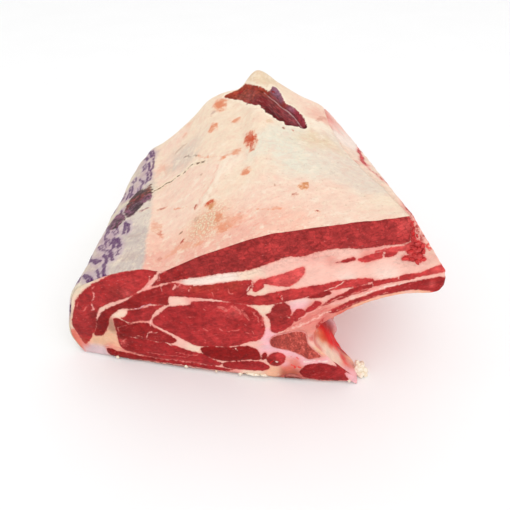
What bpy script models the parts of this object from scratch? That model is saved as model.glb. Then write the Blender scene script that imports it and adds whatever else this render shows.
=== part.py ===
"""A bone-in beef rib roast, standing on the flat side of the backbone.

X runs along the front cut, from the fat-covered back of the animal (left) to the sawn rib ends (right).
Y runs along the backbone, from the front cut to the back cut. Z is up, and the flat side lies at Z = 0.
The outlines below are in millimetres, and each one is given for the front cut and for the back cut.
"""

import math

import bmesh
import bpy
from mathutils import Vector, noise
from mathutils.geometry import delaunay_2d_cdt

MM = 0.001

LENGTH = 216.0  # front cut to back cut
STATIONS = 24  # rings of the loft, front to back

FAT_THICKNESS = 3.6  # the fat cap at its thickest
FAT_EDGE = 1.2  # the fat cap at its edges
FAT_TAPER = 14.0  # how far in from an edge the fat reaches its full thickness
FAT_LIFT = 5.0  # the fat cap stops this far above the flat side
# How far the fat cap stops short of the saw cut, at shares of the length.
FAT_STOPS = [(0.0, 1.5), (0.25, 5.0), (0.5, 15.0), (0.62, 27.0), (0.8, 38.0), (1.0, 46.0)]
GAP = 0.3  # between any two pieces

FACE_BULGE = 9.0  # how far the front cut bows forward at the foot
FACE_MIDDLE = 130.0  # X of the deepest bow
FACE_REACH = 140.0  # half the width of the bow

RIBS = 4
RIB_PITCH = LENGTH / RIBS
RIB_WIDTH = (15.0, 22.0)  # along Y, at the head and at the sawn end
RIB_DEPTH = (9.0, 11.0)  # across, at the head and at the sawn end
RIDGE = 4.0  # how far a rib lifts the inner surface
KNUCKLE = (7.0, 6.0)  # swelling of the gutter wall at the first rib head and at the last
KNUCKLE_HEIGHT = 33.0  # height of the swelling's middle
KNUCKLE_REACH = 14.0
FOOT_DRAW = 9.0  # how far the foot draws in just behind the front cut
FOOT_DRAW_LENGTH = 20.0

# Outer line, from the flat side at the left, over the crease and the back, up to the saw cut.
OUTER_FRONT = [(4, 0), (-4, 20), (1, 45), (10, 70), (28, 83), (49, 94), (68, 99.5), (82, 99), (97, 107),
               (110, 115), (122, 121), (132, 126), (142, 131), (151, 134.5), (160, 138), (172, 141),
               (187, 145.5), (203, 149.5), (222, 153.5), (243, 157.5)]
OUTER_BACK = [(-8, 0), (-15, 20), (-16, 38), (-13, 52), (-8, 62), (-1, 70), (7, 79), (22, 88), (40, 103),
              (56, 118), (70, 134), (83, 142), (102, 150), (117, 166), (127, 166), (141, 157),
              (161, 146), (184, 135), (205, 114), (217, 101)]

# Saw cut through the ribs, from the outer line down to the tip.
SAW_FRONT = [(243, 157.5), (272, 116)]
SAW_BACK = [(217, 101), (243.9, 63)]

# Inner line, from the tip along the ribs, round the gutter beside the backbone, down to the foot.
INNER_FRONT = [(272, 116), (273, 104), (267, 97), (251, 95), (236, 90), (218, 80), (205, 70), (196, 61),
               (191.5, 51), (193, 42), (198, 35), (205, 28), (212, 20), (227, 6), (229, 0)]
INNER_BACK = [(243.9, 63), (244, 55), (238, 50), (224, 51), (209, 56), (195, 58), (182, 56), (173, 50),
              (167.5, 42), (168, 34), (172, 26), (178, 19), (185, 13), (197, 5), (201, 0)]

# Section of the backbone.
SPINE_FRONT = [(160, 40), (167, 48.5), (179, 54.5), (187.5, 51.5), (189.5, 42), (198.5, 31.5), (189, 27.5),
               (174, 34.5)]
SPINE_BACK = [(137, 38), (144, 46), (155, 51.5), (163, 48.5), (164, 39.5), (164.5, 29), (158, 25.5), (148, 33)]
SPINE_SWELL = 0.07

# Centre line of a rib, from its head to just beyond the saw cut.
RIB_FRONT = [(198, 68), (207, 79), (221, 91), (240, 104), (266, 121), (284, 132)]
RIB_BACK = [(171, 58), (184, 64), (202, 66), (219, 67), (236, 72), (253, 79)]

# The bare place in the fat cap, seen from above, where the muscle under it shows.
BARE = [(93, 206), (103, 210.5), (113, 198), (125, 184), (138, 179), (152, 175), (164, 167), (170.5, 150),
        (166, 139.5), (154, 138.5), (144, 141), (134, 149), (124, 161), (111, 186), (101, 197)]

CAP_COUNT, STRIP_COUNT, SAW_COUNT, INNER_COUNT, BASE_COUNT = 29, 4, 3, 22, 7


def mix(a, b, share):
    return a + (b - a) * share


def clamp(value, low=0.0, high=1.0):
    return max(low, min(high, value))


def between(front, back, share):
    """The outline at this share of the length."""
    return [Vector((mix(f[0], b[0], share), mix(f[1], b[1], share))) for f, b in zip(front, back)]


def in_table(table, where):
    """The value of a table of (place, value) pairs, on straight lines between its rows."""
    for (a, low), (b, high) in zip(table, table[1:]):
        if where <= b:
            return mix(low, high, (where - a) / (b - a))
    return table[-1][1]


def smooth_line(points, count):
    """An even polyline of count points on a smooth curve through the given points."""
    ends = [points[0] * 2 - points[1], *points, points[-1] * 2 - points[-2]]
    fine = []
    for a, b, c, d in zip(ends, ends[1:], ends[2:], ends[3:]):
        for step in range(12):
            s = step / 12
            fine.append(0.5 * (2 * b + (c - a) * s + (2 * a - 5 * b + 4 * c - d) * s * s
                               + (3 * b - a - 3 * c + d) * s ** 3))
    fine.append(points[-1].copy())
    return even_line(fine, count)


def even_line(points, count):
    """The same polyline with count points at even distances."""
    lengths = [0.0]
    for a, b in zip(points, points[1:]):
        lengths.append(lengths[-1] + (b - a).length)
    found, k = [], 0
    for i in range(count):
        along = lengths[-1] * i / (count - 1)
        while k < len(points) - 2 and lengths[k + 1] < along:
            k += 1
        share = (along - lengths[k]) / max(lengths[k + 1] - lengths[k], 1e-9)
        found.append(points[k].lerp(points[k + 1], clamp(share)))
    return found


def left_normals(line):
    """Unit normals on the left of the way that the line runs."""
    found = []
    for i in range(len(line)):
        way = (line[min(i + 1, len(line) - 1)] - line[max(i - 1, 0)]).normalized()
        found.append(Vector((-way.y, way.x)))
    return found


def at_rib(y):
    """1 over the middle of a rib, 0 halfway to the next."""
    return 0.5 - 0.5 * math.cos(2 * math.pi * y / RIB_PITCH)


def outer_line(share):
    """Points on the outside of the whole, with the slow unevenness of the real surface.

    The first lies on the flat side. The next CAP_COUNT run over the fat cap, the rest down its bare strip.
    """
    line = smooth_line(between(OUTER_FRONT, OUTER_BACK, share), 160)
    total = sum((b - a).length for a, b in zip(line, line[1:]))
    step = total / (len(line) - 1)
    start = round(FAT_LIFT / step)
    stop = len(line) - 1 - round(in_table(FAT_STOPS, share) / step)
    points = [line[0], *even_line(line[start:stop + 1], CAP_COUNT),
              *even_line(line[stop:], STRIP_COUNT)[1:]]
    uneven = []
    for i, (point, normal) in enumerate(zip(points, left_normals(points))):
        free = min(1.0, i / 4, (len(points) - 1 - i) / 5)
        place_of = Vector((point.x, share * LENGTH, point.y)) / 45
        uneven.append(point + normal * (noise.noise(place_of) * 1.6 * free))
    return uneven


def inner_line(share):
    """The hollow side, with a ridge over each rib and a knuckle at each rib head."""
    line = smooth_line(between(INNER_FRONT, INNER_BACK, share), INNER_COUNT)
    y = share * LENGTH
    size = mix(*KNUCKLE, share) * at_rib(y)
    draw = FOOT_DRAW * (1 - math.exp(-y / FOOT_DRAW_LENGTH))
    found = []
    for i, (point, normal) in enumerate(zip(line, left_normals(line))):
        arm = clamp((point.y - 44) / 12) * clamp(i / 4)
        lift = normal * (RIDGE * at_rib(y) * arm)
        near = math.exp(-(((point.y - KNUCKLE_HEIGHT) / KNUCKLE_REACH) ** 2)) * (1 - arm)
        low = clamp((34 - point.y) / 20)
        found.append(point + lift + Vector((size * near - draw * low, 0)))
    return found


def fat_depths(line, share):
    """Thickness of the fat at each point of an outer line."""
    full = mix(FAT_EDGE + 0.3, FAT_THICKNESS, clamp(share * 8))
    found = []
    for i, point in enumerate(line):
        if i > CAP_COUNT:
            found.append(0.0)
            continue
        edge = min((point - line[1]).length, (point - line[CAP_COUNT]).length)
        found.append(mix(FAT_EDGE, full, clamp(edge / FAT_TAPER)))
    return found


def under_outer(line, share, extra):
    """The outer line moved in by the fat's thickness and extra."""
    found = []
    for point, normal, depth in zip(line, left_normals(line), fat_depths(line, share)):
        moved = point - normal * (depth + extra * (depth > 0))
        found.append(Vector((moved.x, max(moved.y, line[0].y))))
    return found


def saw_line(share):
    top, tip = between(SAW_FRONT, SAW_BACK, share)
    return [top.lerp(tip, i / SAW_COUNT) for i in range(SAW_COUNT + 1)]


def base_line(start, end):
    return [start.lerp(end, i / BASE_COUNT) for i in range(1, BASE_COUNT)]


def place(point, share):
    """The point of a section in space: the sections near the front bow forward."""
    bow = clamp(1 - ((point.x - FACE_MIDDLE) / FACE_REACH) ** 2) * (1 - point.y / 200)
    y = share * LENGTH - FACE_BULGE * bow * (1 - share) ** 3
    return Vector((point.x, y, point.y)) * MM


def close_end(shape, ring, inside=()):
    """Fills an end ring, seen along Y, with triangles that also use the points given inside it."""
    verts = ring + [shape.verts.new(point) for point in inside]
    flat = [Vector((vert.co.x, vert.co.z)) for vert in verts]
    result = delaunay_2d_cdt(flat, [], [list(range(len(ring)))], 1, 1e-7)
    source = [olds[0] for olds in result[3]]
    for triangle in result[2]:
        shape.faces.new([verts[source[i]] for i in triangle])


def loft(name, rings, material, collection, inside=None, plain=1000):
    """A closed solid through rings of points, each ring closed.

    Without inside, its ends are single faces. From the side numbered plain on, the diagonals turn the
    other way, so that two skins that run in opposite directions can lie close together.
    """
    shape = bmesh.new()
    made = [[shape.verts.new(point) for point in ring] for ring in rings]
    for ring, after in zip(made, made[1:]):
        for i in range(len(ring)):
            a, b, c, d = ring[i], ring[(i + 1) % len(ring)], after[(i + 1) % len(ring)], after[i]
            for triangle in ((a, b, c), (a, c, d)) if i < plain else ((a, b, d), (b, c, d)):
                shape.faces.new(triangle)
    if inside is None:
        shape.faces.new(made[0])
        shape.faces.new(made[-1])
    else:
        close_end(shape, made[0], inside)
        close_end(shape, made[-1], ())
    bmesh.ops.recalc_face_normals(shape, faces=shape.faces)
    mesh = bpy.data.meshes.new(name)
    shape.to_mesh(mesh)
    shape.free()
    mesh.shade_smooth()
    mesh.set_sharp_from_angle(angle=math.radians(35))
    obj = bpy.data.objects.new(name, mesh)
    mesh.materials.append(material)
    collection.objects.link(obj)
    return obj


def finish_of(name, colour, roughness):
    material = bpy.data.materials.new(name)
    material.use_nodes = True
    shader = material.node_tree.nodes["Principled BSDF"]
    shader.inputs["Base Color"].default_value = (*colour, 1)
    shader.inputs["Roughness"].default_value = roughness
    shader.inputs["Metallic"].default_value = 0.0
    return material


def shares():
    return [i / (STATIONS - 1) for i in range(STATIONS)]


def lean_section(share):
    top = under_outer(outer_line(share), share, GAP)
    inner = inner_line(share)
    return top + saw_line(share)[1:-1] + inner + base_line(inner[-1], top[0])


def lean_rings():
    return [[place(point, share) for point in lean_section(share)] for share in shares()]


def grid_inside(ring, step, margin):
    """Points of an even grid, in the section's plane, that lie well inside the ring."""
    found = []
    xs, zs = [p.x for p in ring], [p.y for p in ring]
    rows = int((max(zs) - min(zs)) / step)
    for row in range(1, rows + 1):
        for col in range(int((max(xs) - min(xs)) / step) + 1):
            spot = Vector((min(xs) + (col + 0.5 * (row % 2)) * step, min(zs) + row * step))
            crossings = 0
            for a, b in zip(ring, ring[1:] + ring[:1]):
                if (a.y > spot.y) != (b.y > spot.y):
                    crossings += spot.x < mix(a.x, b.x, (spot.y - a.y) / (b.y - a.y))
            if crossings % 2 and min((spot - p).length for p in ring) > margin:
                found.append(spot)
    return found


def fat_rings():
    rings = []
    for share in shares():
        outside = outer_line(share)
        inside = under_outer(outside, share, 0.0)
        section = outside[1:CAP_COUNT + 1] + inside[CAP_COUNT:0:-1]
        rings.append([place(point, share) for point in section])
    return rings


def rib_rings(number, grow):
    """One rib: an oval bar that widens from its head to its sawn end. A cutter has grow above 0."""
    share = (number + 0.5) * RIB_PITCH / LENGTH
    path = smooth_line(between(RIB_FRONT, RIB_BACK, share), 11)
    if grow:
        path[0] = path[0] + (path[0] - path[1]).normalized() * grow
        path[-1] = path[-1] + (path[-1] - path[-2]).normalized() * 5
    rings = []
    for i, (point, normal) in enumerate(zip(path, left_normals(path))):
        along = i / (len(path) - 1)
        half_width = mix(*RIB_WIDTH, along) / 2 + grow
        half_depth = mix(*RIB_DEPTH, along) / 2 + grow
        ring = []
        for k in range(12):
            turn = 2 * math.pi * k / 12
            across = point + normal * (half_depth * math.sin(turn))
            spot = place(across, share)
            ring.append(spot + Vector((0, half_width * math.cos(turn) * MM, 0)))
        rings.append(ring)
    return rings


def grown(loop, distance):
    """A closed clockwise loop moved outward by a distance."""
    found = []
    for i, point in enumerate(loop):
        way = (loop[(i + 1) % len(loop)] - loop[i - 1]).normalized()
        found.append(point + Vector((-way.y, way.x)) * distance)
    return found


def spine_rings(grow, overrun):
    """The backbone: a rounded three-cornered bar that swells at each vertebra."""
    rings = []
    count = 4 * RIBS + 1
    for i in range(count):
        share = i / (count - 1)
        section = between(SPINE_FRONT, SPINE_BACK, share)
        middle = sum(section, Vector((0, 0))) / len(section)
        loop = smooth_line([*section, section[0]], 21)[:-1]
        swell = 1 - SPINE_SWELL * at_rib(share * LENGTH + RIB_PITCH / 2)
        loop = [middle + (point - middle) * swell for point in loop]
        rings.append([place(point, share) for point in grown(loop, grow)])
    if not overrun:
        return rings
    step = Vector((0, overrun * MM, 0))
    return [[p - step for p in rings[0]], *rings, [p + step for p in rings[-1]]]


def cut(obj, cutter):
    step = obj.modifiers.new(cutter.name, "BOOLEAN")
    step.operation = "DIFFERENCE"
    step.solver = "EXACT"
    step.object = cutter


def helper(obj):
    obj.hide_render = True
    obj.display_type = "WIRE"
    return obj


def saw_block(collection):
    """Everything beyond the saw cut, which trims the ribs flush with it."""
    corner = Vector((SAW_FRONT[0][0], 0, SAW_FRONT[0][1]))
    tip = Vector((SAW_FRONT[1][0], 0, SAW_FRONT[1][1]))
    far = Vector((SAW_BACK[0][0], LENGTH, SAW_BACK[0][1]))
    out = (tip - corner).cross(far - corner).normalized()
    size = 500 * MM
    bpy.ops.mesh.primitive_cube_add(size=size)
    block = bpy.context.object
    block.name = "saw_block"
    block.rotation_mode = "QUATERNION"
    block.rotation_quaternion = out.to_track_quat("Z", "Y")
    block.location = (corner + tip + far) / 3 * MM + out * size / 2
    for owner in block.users_collection:
        owner.objects.unlink(block)
    collection.objects.link(block)
    return helper(block)


def bare_cutter(material, collection):
    """An upright block with the outline of the bare place."""
    outline = smooth_line([Vector(point) for point in [*BARE, BARE[0]]], 25)[:-1]
    rings = [[Vector((p.x, p.y, z)) * MM for p in outline] for z in (110, 190)]
    return helper(loft("bare_cutter", rings, material, collection))


def settle(objects):
    """Puts the middle of the whole, at the flat side, on the origin."""
    bpy.context.view_layer.update()
    corners = [obj.matrix_world @ Vector(c) for obj in objects for c in obj.bound_box]
    low = [min(c[i] for c in corners) for i in range(3)]
    high = [max(c[i] for c in corners) for i in range(3)]
    return Vector((-(low[0] + high[0]) / 2, -(low[1] + high[1]) / 2, -low[2]))


def main():
    for obj in list(bpy.data.objects):
        bpy.data.objects.remove(obj)
    parts = bpy.data.collections.new("rib_roast")
    helpers = bpy.data.collections.new("cutters")
    for collection in (parts, helpers):
        bpy.context.scene.collection.children.link(collection)

    red = finish_of("raw_lean", (0.45, 0.035, 0.035), 0.4)
    cream = finish_of("fat", (0.86, 0.68, 0.52), 0.5)
    bone = finish_of("bone", (0.72, 0.42, 0.34), 0.5)

    front = [place(spot, 0) for spot in grid_inside(lean_section(0), 18.0, 9.0)]
    lean = loft("lean", lean_rings(), red, parts, front)
    fat_cap = loft("fat_cap", fat_rings(), cream, parts, (), CAP_COUNT - 1)
    backbone = loft("backbone", spine_rings(0.0, 0.0), bone, parts, ())
    cut(lean, helper(loft("backbone_cutter", spine_rings(GAP, 3.0), bone, helpers, ())))
    block = saw_block(helpers)
    ribs = []
    for number in range(RIBS):
        rib = loft(f"rib_{number + 1}", rib_rings(number, 0.0), bone, parts)
        cut(rib, block)
        cut(lean, helper(loft(f"rib_cutter_{number + 1}", rib_rings(number, GAP), bone, helpers)))
        ribs.append(rib)
    cut(fat_cap, bare_cutter(cream, helpers))

    root = bpy.data.objects.new("rib_roast_root", None)
    parts.objects.link(root)
    root.location = settle([lean, fat_cap])
    for obj in (lean, fat_cap, backbone, *ribs, *helpers.objects):
        obj.parent = root


main()
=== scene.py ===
import math

import bmesh
import bpy
import numpy as np
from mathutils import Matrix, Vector, noise
from mathutils.geometry import delaunay_2d_cdt


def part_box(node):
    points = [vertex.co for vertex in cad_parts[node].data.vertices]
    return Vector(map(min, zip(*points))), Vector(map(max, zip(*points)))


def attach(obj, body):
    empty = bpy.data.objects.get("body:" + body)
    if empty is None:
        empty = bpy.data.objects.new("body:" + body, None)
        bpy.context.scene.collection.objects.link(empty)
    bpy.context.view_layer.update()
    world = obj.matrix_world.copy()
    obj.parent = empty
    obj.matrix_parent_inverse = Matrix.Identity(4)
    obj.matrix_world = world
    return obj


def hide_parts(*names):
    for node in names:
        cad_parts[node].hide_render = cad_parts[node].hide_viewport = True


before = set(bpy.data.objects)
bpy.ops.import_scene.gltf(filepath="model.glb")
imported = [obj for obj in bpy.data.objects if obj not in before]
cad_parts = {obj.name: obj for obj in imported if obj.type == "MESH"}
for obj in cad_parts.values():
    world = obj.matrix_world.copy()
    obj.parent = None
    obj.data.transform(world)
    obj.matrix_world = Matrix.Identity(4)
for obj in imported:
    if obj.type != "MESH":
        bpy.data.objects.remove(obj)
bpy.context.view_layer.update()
coarse = 1.0

# Every length below is in millimetres on the roast's own axes: x along the front cut, y towards the
# back cut, z up. The whole is moved into the frame when a mesh is made.
roast = {
    "length": 216.0,
    "fatThickness": 3.6, "fatEdge": 1.2, "fatTaper": 14.0, "fatLift": 5.0, "gap": 0.3,
    "bulge": 9.0, "bulgeMiddle": 130.0, "bulgeReach": 140.0, "bulgeTop": 200.0,
    "swell": 1.6, "swellSize": 45.0,
    "ribs": 4, "ribPitch": 54.0, "ribWidth": (15.0, 22.0), "ribDepth": (9.0, 11.0),
    "ridge": 4.0, "knuckle": (7.0, 6.0), "knuckleHeight": 33.0, "knuckleReach": 14.0,
    "footDraw": 9.0, "footDrawLength": 20.0,
    "rimRound": 1.0,
}
fatStops = [(0, 1.5), (0.25, 5), (0.5, 15), (0.62, 27), (0.8, 38), (1, 46)]
outerFront = [(4, 0), (-4, 20), (1, 45), (10, 70), (28, 83), (49, 94), (68, 99.5), (82, 99), (97, 107),
              (110, 115), (122, 121), (132, 126), (142, 131), (151, 134.5), (160, 138), (172, 141),
              (187, 145.5), (203, 149.5), (222, 153.5), (243, 157.5)]
outerBack = [(-8, 0), (-15, 20), (-16, 38), (-13, 52), (-8, 62), (-1, 70), (7, 79), (22, 88), (40, 103),
             (56, 118), (70, 134), (83, 142), (102, 150), (117, 166), (127, 166), (141, 157), (161, 146),
             (184, 135), (205, 114), (217, 101)]
sawFront = [(243, 157.5), (272, 116)]
sawBack = [(217, 101), (243.9, 63)]
innerFront = [(272, 116), (273, 104), (267, 97), (251, 95), (236, 90), (218, 80), (205, 70), (196, 61),
              (191.5, 51), (193, 42), (198, 35), (205, 28), (212, 20), (227, 6), (229, 0)]
innerBack = [(243.9, 63), (244, 55), (238, 50), (224, 51), (209, 56), (195, 58), (182, 56), (173, 50),
             (167.5, 42), (168, 34), (172, 26), (178, 19), (185, 13), (197, 5), (201, 0)]
spineFront = [(160, 40), (167, 48.5), (179, 54.5), (187.5, 51.5), (189.5, 42), (198.5, 31.5), (189, 27.5),
              (174, 34.5)]
spineBack = [(137, 38), (144, 46), (155, 51.5), (163, 48.5), (164, 39.5), (164.5, 29), (158, 25.5), (148, 33)]
# the body of the vertebra as it shows at the front cut
vertebraFront = [(158.6, 41), (160, 46), (165, 49.3), (172, 52.2), (179, 55), (185.6, 54), (187.4, 48),
                 (189, 41.5), (194.8, 34.6), (200, 28.8), (195, 26.2), (190, 24.8), (184, 28.8), (176, 32.6),
                 (168, 34.2), (160.6, 36)]
ribFront = [(198, 68), (207, 79), (221, 91), (240, 104), (266, 121), (284, 132)]
ribBack = [(171, 58), (184, 64), (202, 66), (219, 67), (236, 72), (253, 79)]
# how far the foot of the first vertebra stands out beyond the plain one: y and how far
footSway = [(0, 0), (3, 1.5), (7, 3.4), (10, 4.8), (14, 5), (17, 5.4), (21, 4.5), (24.5, 2.6), (28, 0.4),
            (31.5, -1.2), (35, -1.6), (39, -3.2), (43, -4), (47, -4.6), (51, -2.8), (55.5, -0.3), (59.5, -1),
            (64, -3.4), (74, 0)]
bareOutline = [(92, 206.5), (98, 209.6), (104, 211.6), (108, 208), (113.6, 197.6), (119.6, 187.6),
               (126, 182.8), (131.5, 180.4), (136.6, 177.6), (138.4, 188), (139.8, 196.4), (143.6, 190),
               (145.6, 183.4), (148.4, 177.4), (151, 173.6), (157, 173.4), (163.4, 168), (167, 158.6),
               (169, 151.4), (170.6, 143.4), (169.6, 140.2), (165, 141), (160, 137.6), (156, 136.6),
               (152.2, 141), (148.4, 138.6), (144.8, 141), (140, 142.2), (135.6, 147.6), (131, 154.8),
               (127.2, 156.2), (120.4, 168.6), (111.6, 186), (101.4, 197.4), (94, 203.4)]


def mix(a, b, share):
    return a + (b - a) * share


def fade(value, low, high):
    t = np.clip((np.asarray(value, float) - low) / (high - low), 0, 1)
    return t * t * (3 - 2 * t)


def lengthsAlong(line):
    return np.r_[0, np.cumsum(np.linalg.norm(np.diff(line, axis=0), axis=1))]


def evenLine(line, count):
    along = lengthsAlong(line)
    return pickLine(line, along, np.linspace(0, along[-1], count))


def pickLine(line, along, places):
    return np.stack([np.interp(places, along, line[:, k]) for k in range(line.shape[1])], 1)


def smoothLine(points, count, closed=False):
    p = np.asarray(points, float)
    ends = np.vstack([p[-1:], p, p[:2]]) if closed else np.vstack([2 * p[0] - p[1], p, 2 * p[-1] - p[-2]])
    a, b, c, d = (ends[k:len(ends) - 3 + k, None] for k in range(4))
    s = np.linspace(0, 1, 12, endpoint=False)[None, :, None]
    fine = 0.5 * (2 * b + (c - a) * s + (2 * a - 5 * b + 4 * c - d) * s ** 2
                  + (3 * b - a - 3 * c + d) * s ** 3)
    fine = np.vstack([fine.reshape(-1, p.shape[1]), p[:1] if closed else p[-1:]])
    return evenLine(fine, count)


def loopOf(points, spacing=1.0):
    p = np.asarray(points, float)
    around = np.linalg.norm(p - np.roll(p, 1, 0), axis=1).sum()
    return smoothLine(p, max(8, int(around / spacing)), closed=True)[:-1]


def lineOf(points, spacing=0.8):
    p = np.asarray(points, float)
    return smoothLine(p, max(3, int(np.linalg.norm(np.diff(p, axis=0), axis=1).sum() / spacing)))


def leftNormals(line, closed=False):
    if closed:
        way = np.roll(line, -1, 0) - np.roll(line, 1, 0)
    else:
        way = np.vstack([line[1] - line[0], line[2:] - line[:-2], line[-1] - line[-2]])
    way = way / np.maximum(np.linalg.norm(way, axis=1, keepdims=True), 1e-9)
    return np.c_[-way[:, 1], way[:, 0]]


def bumps(points, size, octaves=1, seed=0.0):
    shift = Vector((seed * 17.3, seed * 5.1, seed * 9.7))
    if octaves == 1:
        return np.array([noise.noise(Vector(p) / size + shift) for p in points])
    return np.array([noise.fractal(Vector(p) / size + shift, 0.9, 2.1, octaves) for p in points])


def lineDistance(points, line, closed=False, block=4000):
    starts, ends = (line, np.roll(line, -1, 0)) if closed else (line[:-1], line[1:])
    found = np.empty(len(points))
    way = ends - starts
    size = np.maximum((way ** 2).sum(1), 1e-12)
    for k in range(0, len(points), block):
        rel = points[k:k + block, None] - starts[None]
        t = np.clip((rel * way).sum(2) / size, 0, 1)
        found[k:k + block] = np.sqrt(((rel - t[..., None] * way) ** 2).sum(2).min(1))
    return found


def isInside(points, loop, block=8000):
    found = np.empty(len(points), bool)
    a, b = loop, np.roll(loop, -1, 0)
    rise = np.where(np.abs(b[:, 1] - a[:, 1]) < 1e-9, 1e-9, b[:, 1] - a[:, 1])
    for k in range(0, len(points), block):
        x, z = points[k:k + block, 0:1], points[k:k + block, 1:2]
        spans = (a[:, 1] > z) != (b[:, 1] > z)
        crossing = a[:, 0] + (z - a[:, 1]) / rise * (b[:, 0] - a[:, 0])
        found[k:k + block] = (spans & (x < crossing)).sum(1) % 2 == 1
    return found


def closeTo(points, line, reach):  # which points lie within reach of the box round a line
    return np.all((points > line.min(0) - reach) & (points < line.max(0) + reach), axis=1)


def depthIn(points, loop, reach=6.0):  # above 0 inside the loop, no lower than -reach
    found = np.full(len(points), -reach)
    near = closeTo(points, loop, reach)
    if near.any():
        close = points[near]
        far = lineDistance(close, loop, closed=True)
        found[near] = np.where(isInside(close, loop), far, np.maximum(-far, -reach))
    return found


def atRib(y):
    return 0.5 - 0.5 * np.cos(2 * np.pi * np.asarray(y) / roast["ribPitch"])


def between(front, back, share):
    return mix(np.asarray(front, float), np.asarray(back, float), share)


def place(points, share):  # a section in space: near the front the sections bow forward
    x, z = points[:, 0], points[:, 1]
    bow = np.clip(1 - ((x - roast["bulgeMiddle"]) / roast["bulgeReach"]) ** 2, 0, 1)
    bow = bow * (1 - z / roast["bulgeTop"])
    y = share * roast["length"] - roast["bulge"] * bow * (1 - share) ** 3
    return np.c_[x, np.broadcast_to(y, x.shape), z]


def outerLine(share, wanted):
    # points on the outside of the whole, at lengths along it that wanted(stop, total) gives
    line = smoothLine(between(outerFront, outerBack, share), 320)
    along = lengthsAlong(line)
    lift, total = roast["fatLift"], along[-1]
    stop = total - np.interp(share, *zip(*fatStops))
    where = wanted(stop, total)
    points = pickLine(line, along, where)
    # the plain solid has 33 points along this side, and its swell dies away towards both ends
    index = np.where(where <= stop, 1 + 28 * (where - lift) / (stop - lift),
                     29 + 3 * (where - stop) / (total - stop))
    free = np.clip(np.minimum(index / 4, (32 - index) / 5), 0, 1)
    at = np.c_[points[:, 0], np.full(len(points), share * roast["length"]), points[:, 1]]
    points = points + leftNormals(points) * (bumps(at, roast["swellSize"]) * roast["swell"] * free)[:, None]
    full = mix(roast["fatEdge"] + 0.3, roast["fatThickness"], min(1, share * 8))
    edge = np.minimum(np.abs(where - lift), np.abs(stop - where))
    depth = mix(roast["fatEdge"], full, np.clip(edge / roast["fatTaper"], 0, 1))
    depth = np.where(where <= stop + 1e-6, depth, 0)
    return points, depth, where - stop


def innerLine(share, count):
    line = smoothLine(between(innerFront, innerBack, share), count)
    y = share * roast["length"]
    size = mix(*roast["knuckle"], share) * atRib(y)
    draw = roast["footDraw"] * (1 - math.exp(-y / roast["footDrawLength"]))
    index = np.linspace(0, 21, count)
    z = line[:, 1]
    arm = np.clip((z - 44) / 12, 0, 1) * np.clip(index / 4, 0, 1)
    near = np.exp(-((z - roast["knuckleHeight"]) / roast["knuckleReach"]) ** 2) * (1 - arm)
    low = np.clip((34 - z) / 20, 0, 1)
    found = line + leftNormals(line) * (roast["ridge"] * atRib(y) * arm)[:, None]
    found[:, 0] += size * near - draw * low
    found[:, 0] += np.interp(y, *zip(*footSway)) * fade(z, 34, 6)
    return found


leanSettings = {
    # points along the sides of a section, stations along y, and the points and relief of the cuts
    "sides": {"underFat": 56, "strip": 38, "saw": 32, "inner": 118, "base": 56}, "stripLength": 58.0,
    "stations": 108, "outline": 1.0, "aside": 0.9, "lattice": 1.7, "least": 0.5, "pocket": 1.6, "dome": 0.45,
    "ribPocket": 3.5,
    # the look of the meat and of the fat between the muscles
    "gloss": 0.1, "roughness": 0.34, "bump": 0.6, "bumpDepth": 0.0008, "fibreTurn": (0, -0.4, 0),
    # the bundle gap tone is painted shade at the edges of the cut fibre bundles
    "fibreSize": (6.5, 4, 1.5), "darkFibre": (0.17, 0.004, 0.004), "bundleGapShade": (0.16, 0.006, 0.006),
    "fleck": (0.80, 0.28, 0.25), "fatFibre": (0.84, 0.28, 0.22), "fatSheen": (0.96, 0.77, 0.65),
    "bleed": (0.80, 0.22, 0.18),
}


def leanSection(share):
    count = {k: max(6, int(v / coarse)) for k, v in leanSettings["sides"].items()}
    near = leanSettings["stripLength"]

    def wanted(stop, total):
        return np.r_[0, np.linspace(roast["fatLift"], total - near, count["underFat"]),
                     np.linspace(total - near, total, count["strip"])[1:]]

    line, depth, beyond = outerLine(share, wanted)
    step = roast["fatEdge"] * (1 - fade(beyond, 0.3, 2.2))
    down = np.where(beyond <= 1e-6, depth - 0.15, step)  # the meat reaches just into the fat above it
    top = line - leftNormals(line) * down[:, None]
    top[:, 1] = np.maximum(top[:, 1], 0)
    corner, tip = between(sawFront, sawBack, share)
    saw = mix(corner, tip, np.linspace(0, 1, count["saw"] + 1)[1:-1, None])
    inner = innerLine(share, count["inner"])
    base = mix(inner[-1], top[0], np.linspace(0, 1, count["base"] + 1)[1:-1, None])
    side = np.r_[np.where(beyond > 1e-6, 1, 0), np.full(len(saw), 2), np.full(len(inner), 3),
                 np.full(len(base), 4)]
    return np.vstack([top, saw, inner, base]), side


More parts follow.
